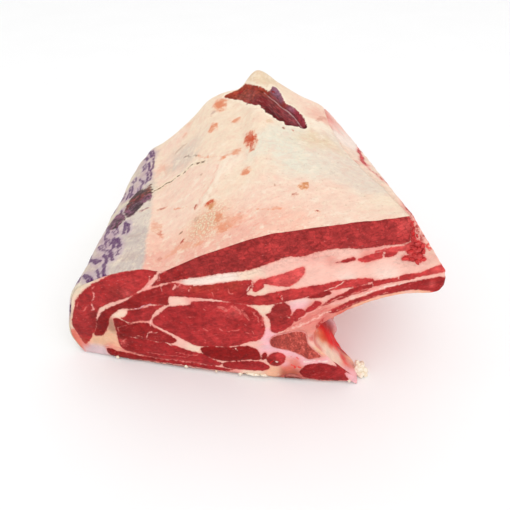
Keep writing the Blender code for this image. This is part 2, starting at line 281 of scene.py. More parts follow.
# The pattern of the cut: tones, muscles, threads and fat, each placed on the front cut in x and z.
meatTones = {
    "umber": (0.165, 0.012, 0.008), "deep": (0.232, 0.004, 0.004), "dark": (0.285, 0.01, 0.01),
    "bark": (0.27, 0.022, 0.019), "brick": (0.343, 0.017, 0.018), "red": (0.402, 0.023, 0.026),
    "ruby": (0.372, 0.029, 0.028), "cherry": (0.461, 0.039, 0.038), "russet": (0.49, 0.052, 0.032),
    "warm": (0.465, 0.031, 0.032), "bright": (0.598, 0.05, 0.049), "light": (0.74, 0.098, 0.092),
    "streak": (0.78, 0.15, 0.14),
}
fatTones = {
    "cream": (0.91, 0.68, 0.53), "pink": (0.93, 0.54, 0.45), "rose": (0.9, 0.38, 0.33),
    "salmon": (0.79, 0.26, 0.21), "flesh": (0.7, 0.15, 0.13), "lavender": (0.71, 0.53, 0.56),
    "lilac": (0.93, 0.48, 0.52), "yellow": (0.82, 0.49, 0.31), "grey": (0.44, 0.23, 0.15),
    "amber": (0.72, 0.13, 0.04), "blood": (0.82, 0.006, 0.008), "white": (0.95, 0.78, 0.68),
    "rust": (0.46, 0.105, 0.06), "buff": (0.84, 0.69, 0.51), "darkBlood": (0.42, 0.006, 0.005),
    "apricot": (0.92, 0.5, 0.32), "coral": (0.76, 0.17, 0.115), "orange": (0.82, 0.23, 0.13),
}

# each muscle: its tones at its left and right ends, how coarse its cut fibres look, and its outline
muscles = {
    "leftBand": ("brick", "warm", 0.1, [(7, 11.5), (3, 23), (1, 32), (3.4, 41), (6.6, 50), (10.6, 60),
      (19.6, 71), (32.6, 82), (46, 90.3), (60, 95.3), (72, 98.6), (79, 98.8), (77, 93.5), (72, 88),
      (69.6, 84), (59.5, 74), (49, 67.3), (37, 61), (27.3, 53), (23.6, 42), (21, 31.5), (16, 21.5),
      (10.5, 13.5)]),
    "longBand": ("deep", "bright", 0.1, [(18.5, 23.6), (22, 33), (26, 44.5), (35, 55.5), (50, 64.8),
      (61, 74.4), (70, 79.4), (77, 82.4), (85, 86.8), (92, 88.8), (102, 87.8), (114, 89.8), (126, 93.3),
      (138, 96.3), (146.5, 97.6), (146.3, 92), (142.5, 84.6), (151, 84.6), (160, 88), (172, 92.6),
      (181, 94.6), (187, 96.6), (196, 99.2), (201, 101.4), (208.4, 103.8), (214, 104.9), (219, 106.2),
      (225.4, 106.4), (227, 104.8), (222, 101.2), (214, 98.2), (205, 95.6), (198, 93.4), (186, 87.3),
      (175, 83.3), (166, 79.3), (155, 76.3), (144, 75.3), (133, 75.8), (120, 77.5), (105, 77.3), (90, 76.6),
      (85.5, 74.6), (84.4, 70), (83.8, 66.8), (78, 66.4), (71, 65.8), (65, 62.8), (58, 59.5), (50, 58.2),
      (45, 56.3), (38.6, 50.3), (35.2, 45), (32.2, 36), (26.5, 26)]),
    "cornerUpper": ("brick", "red", 0.1, [(52, 56.6), (59, 58.8), (66, 61.8), (71, 64.4), (78, 65.6),
      (81.5, 66.2), (77.5, 63.2), (73.6, 59.6), (71, 55.4), (69.6, 52), (67.6, 48.8), (62, 48), (56.5, 46.6),
      (52, 44.2), (47, 45.8), (44.5, 47.6), (48.5, 49.3), (50.6, 52.5)]),
    "cornerMiddle": ("dark", "brick", 0.15, [(38.2, 45.5), (44, 46.2), (50, 43), (55, 43.9), (61, 45.6),
      (66, 46), (72, 42.4), (79, 38.4), (86, 34.4), (87.2, 31), (84, 28.2), (78, 27.6), (70, 27.2),
      (60, 28.6), (50, 28.4), (44, 29.2), (38.8, 33)]),
    "cornerLower": ("brick", "red", 0.1, [(39.5, 32), (45, 28.8), (52, 28.1), (60, 28.3), (70, 26.9),
      (78, 27.2), (86, 25.8), (97, 22.3), (106, 21.3), (112, 18.2), (119, 14.6), (122.6, 12), (119, 9),
      (106, 9.3), (94, 9.4), (78, 8.8), (62, 8.8), (50, 10.3), (41, 13.4), (38.6, 21)]),
    "bottomStrip": ("dark", "red", 0.05, [(36, 9), (46, 9.4), (54, 8.3), (75, 8.2), (95, 8.6), (112, 8.2),
      (122, 7.2), (132, 6.8), (126, 4.4), (108, 4.2), (90, 4.6), (70, 4.8), (50, 3.2), (37, 3)]),
    "darkTip": ("deep", "deep", 0.05, [(26.6, 9.6), (30, 11.2), (34, 10), (36.4, 7.6), (35.6, 4), (30, 2.6),
      (27, 5)]),
    "ribEye": ("red", "warm", 0.2, [(70.2, 47.6), (71.8, 52.6), (76, 57), (80, 61.6), (85, 65.6), (92, 67.7),
      (98, 68.6), (101.2, 70.2), (102.6, 72.6), (108, 74.3), (116, 75.3), (126, 75.8), (136, 75.3), (143, 74),
      (149.5, 70.6), (153.6, 65), (155.6, 58), (156, 52), (154.6, 46), (151.4, 41.4), (144, 38.4),
      (138, 35.2), (131, 32), (124, 31), (116, 30.4), (108, 28.3), (101, 29.6), (94, 33.4), (87, 37.4),
      (80, 40.8), (73, 44.4)]),
    "underEye": ("deep", "dark", 0.1, [(106.8, 26.8), (112, 29.3), (120, 30), (129, 31), (136, 33.3),
      (143, 34), (148.6, 32.6), (152, 29), (153, 22.4), (149.6, 20.3), (142, 19.4), (135, 17.6), (128, 15.9),
      (121, 15.4), (114, 17.8), (107.6, 21.8)]),
    "underEyeRight": ("brick", "red", 0.15, [(131, 15.8), (138, 17), (146, 18.3), (153, 18.6), (158.4, 16),
      (160, 12.5), (156.6, 9.2), (148, 8.4), (138, 8.2), (129, 7.6), (123.6, 9), (124.6, 13)]),
    "smallRound": ("brick", "warm", 0.15, [(158.6, 19), (158.8, 24.8), (162.6, 29.9), (168, 30.5),
      (171.8, 26.8), (171.4, 20.8), (167.8, 16.6), (162.3, 15.7)]),
    "sliver": ("dark", "dark", 0.1, [(154.4, 21.3), (154.6, 27.3), (157.4, 29.6), (158, 24)]),
    "besideBone": ("red", "warm", 0.3, [(156.2, 67.6), (159.6, 70.4), (160.8, 74.2), (163.4, 77.8),
      (167, 79.6), (169.6, 80.6), (171.8, 78.6), (173.6, 75.6), (174.7, 71), (174, 68), (176, 65.4),
      (176.4, 61.4), (172, 55.6), (165.4, 50.8), (160.8, 51.6), (160.2, 57), (159, 63)]),
    "besideBoneMiddle": ("warm", "warm", 0.15, [(174.6, 67), (176, 71.4), (178.6, 75.2), (182.4, 75.2),
      (184.8, 72.4), (181.2, 66.6), (177.6, 63)]),
    "besideBoneUpper": ("red", "warm", 0.15, [(184, 74.6), (186.4, 77.8), (188.8, 80.5), (190, 83.2),
      (193.6, 84.2), (194.8, 81), (191.6, 77), (186.2, 72.2)]),
    "foot": ("dark", "red", 0.3, [(183.6, 9.6), (184.8, 14), (188, 18.4), (193, 20.8), (201, 22),
      (207.4, 20.5), (213.2, 17.6), (217.4, 13.2), (219.8, 8.6), (221, 4.6), (212, 3.6), (203, 3.4),
      (195, 3.8), (188, 5)]),
    "topBand": ("ruby", "cherry", 1, [(74, 84), (83, 87.6), (92, 90.8), (101, 94.4), (110, 96), (118, 99.3),
      (128, 101.8), (137, 104.2), (146, 107.2), (154, 111.2), (162, 115.7), (170, 119.8), (180, 121.2),
      (190, 125.8), (200, 128.8), (209, 129.7), (217, 130.2), (230, 133.7), (244, 136.8), (244.5, 141),
      (243.5, 149), (240.3, 156.4), (222, 152.9), (203, 148.9), (187, 144.9), (172, 140.3), (160, 137.3),
      (151, 133.8), (142, 130.3), (132, 125.3), (122, 120.3), (110, 114.3), (101, 109.3), (92, 102.8),
      (85, 98.3), (80.2, 95), (78.6, 90.5)]),
    "brightWedge": ("warm", "light", 0.1, [(150.6, 98), (158, 101.3), (166, 104.9), (174, 108.9),
      (180.4, 112.4), (181.4, 107), (178.8, 102.2), (175.2, 97.2), (171, 94.7), (164, 94.4), (157, 95.3),
      (153, 96)]),
    "wedgeTip": ("warm", "warm", 0.1, [(146.8, 89.2), (148.3, 95.8), (152, 97), (154.6, 93), (152.5, 90),
      (149.3, 88)]),
    "upperStreak": ("warm", "warm", 0.3, [(201.4, 117.6), (205, 119.8), (209.6, 121.8), (212, 123.2),
      (213.8, 121.6), (212.4, 120), (207, 118.4)]),
    "middleStreak": ("bright", "bright", 0.3, [(215, 120.8), (218, 123.4), (222, 126.2), (228, 128.6),
      (230.8, 128.4), (230.8, 124.6), (227, 122.4), (220, 120)]),
    "furtherStreak": ("warm", "bright", 0.3, [(231.4, 124.8), (231.6, 128.8), (236, 129.8), (239, 129),
      (237.2, 126.2), (234, 124.6)]),
    "edgeStreak": ("bright", "light", 0.2, [(225, 128.7), (234, 132.2), (241, 134.2), (246, 136),
      (249.4, 133.3), (243, 130.8), (235.5, 129.4)]),
    "lump": ("bright", "light", 0.8, [(241, 134.6), (246, 137.6), (250, 139.4), (253.4, 137), (254.6, 132),
      (254.2, 128.4), (257.4, 125.4), (256, 123.6), (253.2, 121.4), (250.6, 122.8), (246, 123),
      (242.8, 123.8), (242.8, 126.8), (247.4, 127.6), (244, 130.4), (248, 133), (245.4, 134.4)]),
    "endStrip": ("bright", "bright", 0.2, [(240.6, 156.6), (244.2, 149), (245, 141), (246.4, 136.6),
      (249.4, 138.6), (247.4, 143), (245.6, 150)]),
    "ribBandUpper": ("brick", "bright", 0.2, [(195.6, 79.6), (199, 84.4), (203, 88.4), (210, 93.4),
      (214, 96.6), (220, 100), (225.6, 101.8), (228, 104.4), (233, 105.9), (238, 107.4), (243, 109),
      (246.4, 111.6), (250, 112.6), (256, 113.4), (259, 115.8), (263.8, 118.8), (267, 120.6), (269.6, 117.4),
      (270, 115.2), (266.3, 113.8), (262, 112.2), (256.8, 110.6), (250.4, 107.5), (243, 105.4), (238, 103.8),
      (232.6, 101.6), (227.6, 99.4), (224, 96.4), (219, 93.2), (213.7, 90.5), (209.5, 87.4), (203.7, 85.2),
      (200.6, 82.2)]),
    "ribBandLower": ("warm", "brick", 0.2, [(200, 74.4), (206, 79.4), (209.6, 82.6), (213.8, 85.4),
      (219, 88.6), (224.8, 92.2), (230.6, 95.9), (236, 98.5), (243, 101.7), (248.4, 104.2), (253.8, 106),
      (259, 108), (264.4, 109.6), (271, 111), (271.8, 104.5), (270.4, 99), (264, 98.6), (256, 99.2),
      (248, 97.4), (240, 94.6), (232, 91.6), (224, 86.8), (216, 82), (209, 77), (204, 73.6)]),
    "ribSliver": ("brick", "brick", 0.1, [(185, 86.6), (190, 90.6), (195, 93), (198.4, 93.6), (200.4, 91),
      (195, 87.6), (189, 86.2)]),
}

# where the meat's colour differs from its muscle's own run of tones, painted shade among them: x, z, reach,
# tone
meatPlaces = [
    # the umber places at x 24, z 47 and at x 40.5, z 39 are painted shade
    (24, 47, 4, "umber"), (40.5, 39, 3.5, "umber"), (42, 28, 4, "umber"), (46, 34, 5, "deep"),
    (36, 76, 6, "brick"), (45, 75, 6, "bark"), (58, 86, 5, "bright"), (54, 74, 3.5, "light"),
    (68, 95, 6, "warm"), (30, 58, 4, "warm"), (13, 50, 5, "warm"), (28, 40, 5, "deep"), (24, 32, 5, "deep"),
    (57, 61, 5, "deep"), (45, 60, 5, "dark"), (75, 76, 6, "brick"), (90, 82, 5, "warm"), (96, 86, 4, "light"),
    (102, 81, 8, "brick"), (117, 91, 6, "russet"), (106, 87, 5, "russet"), (134, 92, 5, "russet"),
    (140, 83, 8, "brick"), (73, 64, 5, "warm"), (66, 54, 5, "warm"), (43, 21, 3, "light"),
    (88, 50, 9, "brick"), (134, 67, 5, "light"), (125, 69, 4, "bright"), (118, 42, 12, "warm"),
    (150, 45, 5, "bright"), (138, 58, 8, "brick"), (104, 60, 9, "brick"), (145, 66, 3.5, "dark"),
    (200, 12, 6, "dark"), (82, 93, 5, "dark"), (95, 97, 6, "dark"), (120, 108, 10, "ruby"),
    (165, 128, 12, "cherry"), (236, 145, 7, "bright"), (242, 150, 5, "light"), (189, 98, 5, "red"),
    (205, 103, 6, "warm"), (165, 66, 8, "bark"), (168, 76, 5, "bark"), (165, 53, 5, "warm"),
    (165, 84, 1.6, "deep"), (163.5, 20, 4, "umber"), (167, 28, 4, "bright"), (212, 10, 3, "warm"),
    (266, 117, 3.5, "light"), (265, 105, 2.5, "light"), (258, 101, 5, "brick"), (226, 103, 3, "brick"),
    (75, 18, 8, "red"), (52, 18, 6, "dark"), (140, 25, 7, "deep"), (118, 25, 7, "deep"), (56, 39, 8, "dark"),
    (84, 31, 3, "deep"), (164, 99, 5, "light"), (151, 93, 3, "bright"), (7, 15, 4, "russet"),
    (90, 14, 7, "red"),
]

# where pale fibres streak the meat, partly a painted wet highlight: x, z, reach, strength
palePlaces = [
    (132, 70, 9, 1), (146, 66, 6, 0.8), (152, 56, 4, 0.6), (118, 72, 6, 0.7), (26, 58, 4, 0.9),
    (94, 85, 6, 0.9), (55, 80, 8, 0.35), (165, 99, 8, 0.5), (248, 131, 7, 0.8), (232, 127, 7, 0.9),
    (206, 120, 5, 0.9), (71, 36, 5, 0.5), (44, 20, 4, 0.8), (218, 101, 7, 0.6), (245, 110, 9, 0.6),
    (255, 103, 9, 0.5), (225, 91, 8, 0.6), (210, 82, 6, 0.7), (197, 12, 12, 0.35), (148, 25, 5, 0.3),
    (138, 13, 8, 0.4), (115, 43, 8, 0.35), (200, 99, 6, 0.6), (84, 79, 5, 0.5),
]

# thin lines of fat, membrane or blood: tone, half width, line
threads = [
    ("rose", 0.55, [(28, 70.5), (26, 66), (24, 61), (23.4, 57), (24, 54), (22, 52)]),
    ("flesh", 0.3, [(28.4, 77), (26.6, 74), (26, 71)]), ("flesh", 0.3, [(20, 57.5), (17, 53), (14, 48.4)]),
    ("flesh", 0.25, [(12, 62), (11, 56), (9.6, 50)]), ("rose", 0.5, [(68, 81.5), (71.6, 86.4), (73.6, 92.6)]),
    ("pink", 0.7, [(70.6, 82), (75.4, 88), (78.4, 93.4)]), ("rose", 0.4, [(80, 93.4), (82, 97), (85, 99.4)]),
    ("rose", 0.35, [(79, 89), (80.6, 92), (80, 95)]), ("rose", 0.4, [(89.6, 83), (91.4, 87.4)]),
    ("rose", 0.4, [(92, 84.6), (95.4, 88.6)]), ("rose", 0.35, [(81, 80), (80.6, 84)]),
    ("lilac", 0.55, [(58, 58.8), (62, 61.6), (66.4, 64), (71, 66.6)]),
    ("salmon", 0.5, [(50.6, 42.4), (55, 44.8), (60, 46.6), (65.6, 47.4)]),
    ("pink", 0.6, [(68.8, 49.4), (68.2, 46), (68.6, 44)]),
    ("salmon", 0.35, [(68.6, 44.4), (74, 41.6), (79, 38.4), (85, 35.4)]),
    ("salmon", 0.3, [(41, 33.6), (41.2, 37), (44.4, 39.4), (48, 41)]),
    ("rose", 0.45, [(63.4, 28.8), (64.4, 33), (67, 36.6), (68.6, 38)]),
    ("rose", 0.45, [(69.8, 37), (73.6, 38.6)]), ("salmon", 0.3, [(54, 29), (57, 31.4), (60, 31)]),
    ("salmon", 0.5, [(42.6, 22.8), (43.8, 21)]), ("flesh", 0.35, [(46, 26), (42, 22), (40.6, 18)]),
    ("pink", 0.5, [(78.6, 28), (82, 26.8), (87, 26.4)]),
    ("salmon", 0.7, [(34, 14), (42, 12.2), (50, 10.6), (60, 9.6)]),
    ("flesh", 0.4, [(60, 9.6), (75, 9), (92, 10.4), (106, 10)]),
    ("flesh", 0.25, [(62, 14), (78, 14.4), (96, 15.6)]), ("flesh", 0.25, [(86, 19), (96, 18), (104, 19)]),
    ("rose", 0.4, [(101, 82.8), (102.4, 86.4)]), ("flesh", 0.3, [(118, 84), (118.6, 80)]),
    ("flesh", 0.4, [(130, 89), (130.4, 85.4), (133, 84.6)]),
    ("pink", 0.6, [(146.2, 97.4), (146.4, 94), (144, 91), (142.6, 88)]),
    ("blood", 0.5, [(166, 86), (164.8, 82.6)]), ("rose", 0.3, [(167.6, 87), (167.6, 83)]),
    ("flesh", 0.9, [(121.6, 71.4), (125, 70), (128, 68.6)]),
    ("flesh", 0.9, [(132, 73), (136, 70), (138.6, 66.4)]),
    ("flesh", 0.9, [(139.4, 70.4), (141, 66.4), (144.6, 61.4)]),
    ("flesh", 0.6, [(150, 69.6), (153, 66), (154.4, 60.6), (154.8, 57)]),
    ("flesh", 0.35, [(147, 69), (150.4, 64), (151.6, 60)]),
    ("flesh", 0.3, [(126, 47.6), (132, 49.2), (137, 51)]), ("flesh", 0.45, [(111, 67.4), (112, 66.4)]),
    ("flesh", 0.4, [(100, 58.4), (104, 58.6)]), ("flesh", 0.4, [(122.6, 50), (124.4, 48)]),
    ("flesh", 0.4, [(110, 48), (113, 46)]), ("flesh", 0.4, [(142, 48.4), (144, 47.4)]),
    ("flesh", 0.3, [(110.4, 36.4), (110.6, 33)]), ("flesh", 0.35, [(140.4, 57.6), (142, 55.6)]),
    ("flesh", 0.3, [(147, 52), (147.6, 47.6)]), ("pink", 0.45, [(134, 31), (135, 29)]),
    ("white", 0.55, [(165.6, 21.4), (166.4, 20.4)]), ("blood", 0.4, [(161, 18), (163, 22)]),
    ("pink", 0.4, [(172, 69), (173.6, 66.4)]), ("pink", 0.45, [(196, 93.6), (203, 98), (208.6, 103.4)]),
    ("salmon", 0.4, [(198, 82), (208, 89), (220, 95.4), (232, 101), (244, 105)]),
    ("white", 0.3, [(214, 86.6), (224, 93.4), (234, 99), (246, 104)]),
    ("pink", 0.4, [(246, 104), (256, 108.6), (268, 112.6)]),
    ("salmon", 0.35, [(206, 76.6), (216, 83), (226, 89), (238, 95)]),
    ("pink", 0.3, [(227, 103), (227.6, 99.6)]), ("pink", 0.4, [(243, 109.4), (243.4, 106.6)]),
    ("pink", 0.5, [(231, 124.2), (231, 129)]), ("white", 1.2, [(187, 22.4), (194, 23.4), (203.5, 24.8)]),
    ("pink", 0.7, [(161, 49), (168, 51.6), (178, 57), (190, 66), (202, 76)]),
    ("flesh", 0.5, [(174, 57.4), (184, 64.6), (194, 73), (201, 79)]),
    ("flesh", 0.4, [(184, 60), (192, 65), (199, 70)]), ("rose", 0.5, [(180, 66), (188, 73), (196, 79)]),
    ("darkBlood", 0.8, [(197.4, 68), (194, 61), (192.2, 52), (192.8, 43)]),
    ("blood", 0.5, [(180.6, 26.6), (181.8, 24.8)]), ("blood", 0.3, [(176, 27), (177.4, 29)]),
    ("blood", 0.6, [(177, 18), (179, 16.4), (180, 14.6)]), ("blood", 0.5, [(182.6, 16.4), (184.4, 15.4)]),
    ("blood", 0.6, [(267, 98.6), (268.4, 97)]), ("darkBlood", 0.7, [(246.4, 151), (247.2, 147.6)]),
    ("darkBlood", 0.9, [(248.6, 146.4), (250.2, 143.6)]), ("blood", 0.6, [(246.4, 144.6), (247, 141)]),
    ("darkBlood", 0.7, [(251.4, 142.4), (252.8, 139.6)]), ("blood", 0.5, [(256, 137), (258, 132)]),
]

# the colour of the fat round about a place, by tone: x, z, reach
fatPlaces = {
    "lavender": [(12, 6, 5), (20, 6, 5), (16, 8, 4), (158, 35, 2)],
    "yellow": [(18, 18, 5), (27, 21, 5), (34, 27, 4.5)], "grey": [(36, 34, 3.5), (36, 42, 3.5)],
    "apricot": [(35, 16, 3.5), (13, 15, 3), (199, 34, 4), (164, 8, 4), (264, 98, 5), (240, 92, 5),
      (224, 84, 5)],
    "salmon": [(32, 14, 3.5), (28, 12, 2), (22, 34, 3), (58, 46, 4), (198, 119, 4), (222, 124, 4),
      (182, 62, 7), (190, 60, 4), (172, 50, 4), (190, 72, 6), (200, 74, 4), (60, 5, 6), (45, 11, 4),
      (192, 76, 4), (183, 14, 3), (177, 20.5, 3), (198, 28, 3)],
    "coral": [(0, 8, 5), (9, 10, 2.5), (-1, 20, 5), (180, 22, 4), (176, 15, 4), (210, 75, 4)],
    "buff": [(-2, 32, 4), (-1, 42, 4), (4, 54, 4), (14, 70, 5), (26, 80, 4)],
    "cream": [(44, 51, 6), (32, 56, 4), (93, 72, 5), (145, 102, 7), (150, 82, 7), (101, 26, 5), (154, 73, 4),
      (147, 5, 5), (259, 130, 4), (263, 122, 4), (257, 138, 3)],
    "pink": [(27, 50, 3), (45, 62, 6), (60, 72, 5), (90, 72, 8), (78, 92, 4), (75, 57, 3), (163, 112, 8),
      (190, 114, 12), (212, 112, 10), (205, 126, 5), (232, 117, 9), (252, 118, 8), (170, 89, 8), (190, 96, 7),
      (85, 35, 3), (92, 29, 5), (157, 60, 3), (150, 36, 4), (208, 24, 3), (236, 101, 4), (214, 93, 4),
      (272, 110, 3), (248, 144, 5), (262, 112, 3)],
    "rose": [(101, 75.5, 5), (72, 84, 5), (62, 62, 4), (68, 46, 3), (92, 90, 5), (150, 98, 3), (185, 122, 6),
      (226, 131, 4), (262, 126, 8), (140, 78, 6), (175, 22, 4), (140, 15, 3), (132, 4, 4), (110, 5, 5),
      (90, 5, 6), (203, 2, 6), (228, 99, 6), (205, 90, 4), (252, 140, 4)],
    "white": [(105, 92, 8), (125, 97, 9), (178, 84, 4), (234, 112, 6), (210, 106, 5)],
    "lilac": [(178, 80, 5), (158, 46, 5), (155, 34, 4), (162, 34, 4), (170, 32, 4), (178, 29, 4),
      (173, 19, 2.5), (186, 24, 4), (200, 24, 4), (222, 12, 4), (216, 20, 4), (226, 4, 4)],
    "flesh": [(196, 64, 3), (192, 48, 2), (90, 9, 4), (184, 5, 3), (186, 67, 4), (197, 71, 4), (179, 17, 3),
      (173, 2, 3)],
    "rust": [(172, 7, 4), (180, 10, 4)],
}


def toneOf(name):
    return np.array(meatTones.get(name) or fatTones[name])


muscleLoops = [loopOf(outline, 1.1) for *_, outline in muscles.values()]
threadPaths = []
for number, (*_, line) in enumerate(threads):
    path = lineOf(line, 0.6)
    at = np.c_[path, np.full(len(path), number)]
    threadPaths.append(path + leftNormals(path) * (0.9 * bumps(at, 3.5, 2, 50.0))[:, None])


def nearPlace(points, x, z, reach):
    return np.exp(-((points[:, 0] - x) ** 2 + (points[:, 1] - z) ** 2) / reach ** 2)


def blendTones(points, places, tones, floor=0.02, base="cream"):
    total = np.full(len(points), floor)
    colour = np.tile(np.array(tones[base]) * floor, (len(points), 1))
    for tone, spots in places.items():
        for x, y, reach in spots:
            weight = nearPlace(points, x, y, reach)
            total += weight
            colour += weight[:, None] * np.array(tones[tone])
    return colour / total[:, None]


def paintCut(points):
    # what the cut shows at these places: how deep in a muscle, its tone, the fat's tone, the nearest thread
    count = len(points)
    lean = np.full(count, -6.0)
    shade = np.tile(toneOf("red"), (count, 1))
    grain = np.zeros(count)
    for (left, right, coarseness, _), loop in zip(muscles.values(), muscleLoops):
        depth = depthIn(points, loop)
        mine = depth > lean
        across = np.clip((points[:, 0] - loop[:, 0].min()) / np.ptp(loop[:, 0]), 0, 1)
        shade[mine] = mix(toneOf(left), toneOf(right), across[mine, None])
        grain[mine] = coarseness
        lean = np.maximum(lean, depth)
    at = np.c_[points, np.zeros(count)]
    lean = lean + 0.5 * bumps(at, 4.0, 2, 51.0)
    for x, z, reach, tone in meatPlaces:
        shade = mix(shade, toneOf(tone), 0.8 * nearPlace(points, x, z, reach)[:, None])
    pale = np.full(count, 0.12)
    for x, z, reach, strength in palePlaces:
        pale = np.maximum(pale, strength * nearPlace(points, x, z, reach))
    thread = np.full(count, 4.0)
    threadShade = np.tile(toneOf("rose"), (count, 1))
    for (tone, half, _), path in zip(threads, threadPaths):
        far = np.full(count, 4.0)
        near = closeTo(points, path, 4.0)
        if near.any():
            width = half * (1 + 0.9 * bumps(at[near], 4.5, 2, 52.0))
            far[near] = lineDistance(points[near], path) - width
        mine = far < thread
        threadShade[mine] = toneOf(tone)
        thread = np.minimum(thread, far)
    return {"lean": lean, "shade": shade, "grain": grain, "pale": pale, "thread": thread,
            "threadShade": threadShade, "fatShade": blendTones(points, fatPlaces, fatTones, base="pink")}


def joinPaint(parts):
    return {key: np.concatenate([part[key] for part in parts]) for key in parts[0]}


def stationList(count, rim):
    # shares of the length, and how far each section is drawn in to round the rims of both cuts
    ends = np.array([0.0, 0.35, 1.1]) / roast["length"]
    shares = np.r_[ends[:2], np.linspace(ends[2], 1 - ends[2], count), 1 - ends[1::-1]]
    insets = np.zeros(len(shares))
    insets[[0, -1]], insets[[1, -2]] = rim, rim * 0.35
    return shares, insets


def spacedPoints(candidates, gap, loop, margin):
    # thins out candidates inside a loop so that no two are closer than gap, the first ones first
    candidates = candidates[isInside(candidates, loop)]
    candidates = candidates[lineDistance(candidates, loop, closed=True) > margin]
    cells, kept = {}, []
    for x, z in candidates.tolist():
        i, j = math.floor(x / gap), math.floor(z / gap)
        around = [cells[i + a, j + b] for a in (-1, 0, 1) for b in (-1, 0, 1) if (i + a, j + b) in cells]
        if all((other[0] - x) ** 2 + (other[1] - z) ** 2 >= gap * gap for other in around):
            cells[i, j] = (x, z)
            kept.append((x, z))
    return np.array(kept)


def lattice(low, high, step):  # points in even triangles over a rectangle
    xs, zs = np.meshgrid(np.arange(low[0], high[0], step), np.arange(low[1], high[1], step * 0.866))
    xs = xs + (np.arange(len(zs)) % 2)[:, None] * step / 2
    return np.c_[xs.ravel(), zs.ravel()]


def closeLoop(loop, inside):
    # triangles over a closed outline that use the points inside it; numbers count the loop first
    flat = [Vector(p) for p in np.vstack([loop, inside])]
    result = delaunay_2d_cdt(flat, [], [list(range(len(loop)))], 1, 1e-7)
    source = [olds[0] if olds else -1 for olds in result[3]]
    return [[source[i] for i in tri] for tri in result[2] if all(source[i] >= 0 for i in tri)]


def carryOver(points, fromLoop, toLoop, block=1500):
    # points inside one outline moved to the matching places inside another
    found = np.empty((len(points), toLoop.shape[1]))
    for k in range(0, len(points), block):
        d = fromLoop[None] - points[k:k + block, None]
        r = np.maximum(np.linalg.norm(d, axis=2), 1e-6)
        after = np.roll(d, -1, 1)
        rAfter = np.roll(r, -1, 1)
        sine = (d[..., 0] * after[..., 1] - d[..., 1] * after[..., 0]) / (r * rAfter)
        cosine = (d * after).sum(2) / (r * rAfter)
        half = sine / np.maximum(1 + cosine, 1e-6)
        weight = (np.roll(half, 1, 1) + half) / r
        weight /= weight.sum(1, keepdims=True)
        found[k:k + block] = weight @ toLoop
    return found


def endFaces(tris, columns, first, start):
    # numbers the triangles of an end among all points: its ring from first on, its inside from start on
    return [tuple(v + first if v < columns else v - columns + start for v in tri) for tri in tris]


def makePiece(name, points, faces, material, attributes=None):
    mesh = bpy.data.meshes.new(name)
    mesh.from_pydata((np.asarray(points) * 0.001 + shift).tolist(), [], faces)
    for key, values in (attributes or {}).items():
        kind, field = ("FLOAT_COLOR", "color") if values.ndim == 2 else ("FLOAT", "value")
        if values.ndim == 2:
            values = np.c_[values, np.ones(len(values))]
        mesh.attributes.new(key, kind, "POINT").data.foreach_set(field, values.astype(np.float32).ravel())
    mesh.validate()
    build = bmesh.new()
    build.from_mesh(mesh)
    bmesh.ops.holes_fill(build, edges=build.edges, sides=6)
    bmesh.ops.recalc_face_normals(build, faces=build.faces)
    build.to_mesh(mesh)
    build.free()
    mesh.shade_smooth()
    mesh.materials.append(material)
    obj = bpy.data.objects.new(name, mesh)
    bpy.context.scene.collection.objects.link(obj)
    return obj


def gridFaces(rows, columns, closed, start=0):
    # quads of a loft: rows of columns points each
    faces = []
    for i in range(rows - 1):
        for j in range(columns if closed else columns - 1):
            a, b = start + i * columns + j, start + i * columns + (j + 1) % columns
            faces.append((a, b, b + columns, a + columns))
    return faces


class Wire:
    def __init__(self, tree, socket):
        self.tree, self.socket = tree, socket

    def maths(self, operation, *values):
        node = self.tree.nodes.new("ShaderNodeMath")
        node.operation = operation
        for slot, value in zip(node.inputs, values):
            if isinstance(value, Wire):
                self.tree.links.new(value.socket, slot)
            else:
                slot.default_value = value
        return Wire(self.tree, node.outputs[0])

    def __add__(self, other): return self.maths("ADD", self, other)
    def __radd__(self, other): return self.maths("ADD", other, self)
    def __sub__(self, other): return self.maths("SUBTRACT", self, other)
    def __rsub__(self, other): return self.maths("SUBTRACT", other, self)
    def __mul__(self, other): return self.maths("MULTIPLY", self, other)
    def __rmul__(self, other): return self.maths("MULTIPLY", other, self)
    def lower(self, other): return self.maths("MINIMUM", self, other)


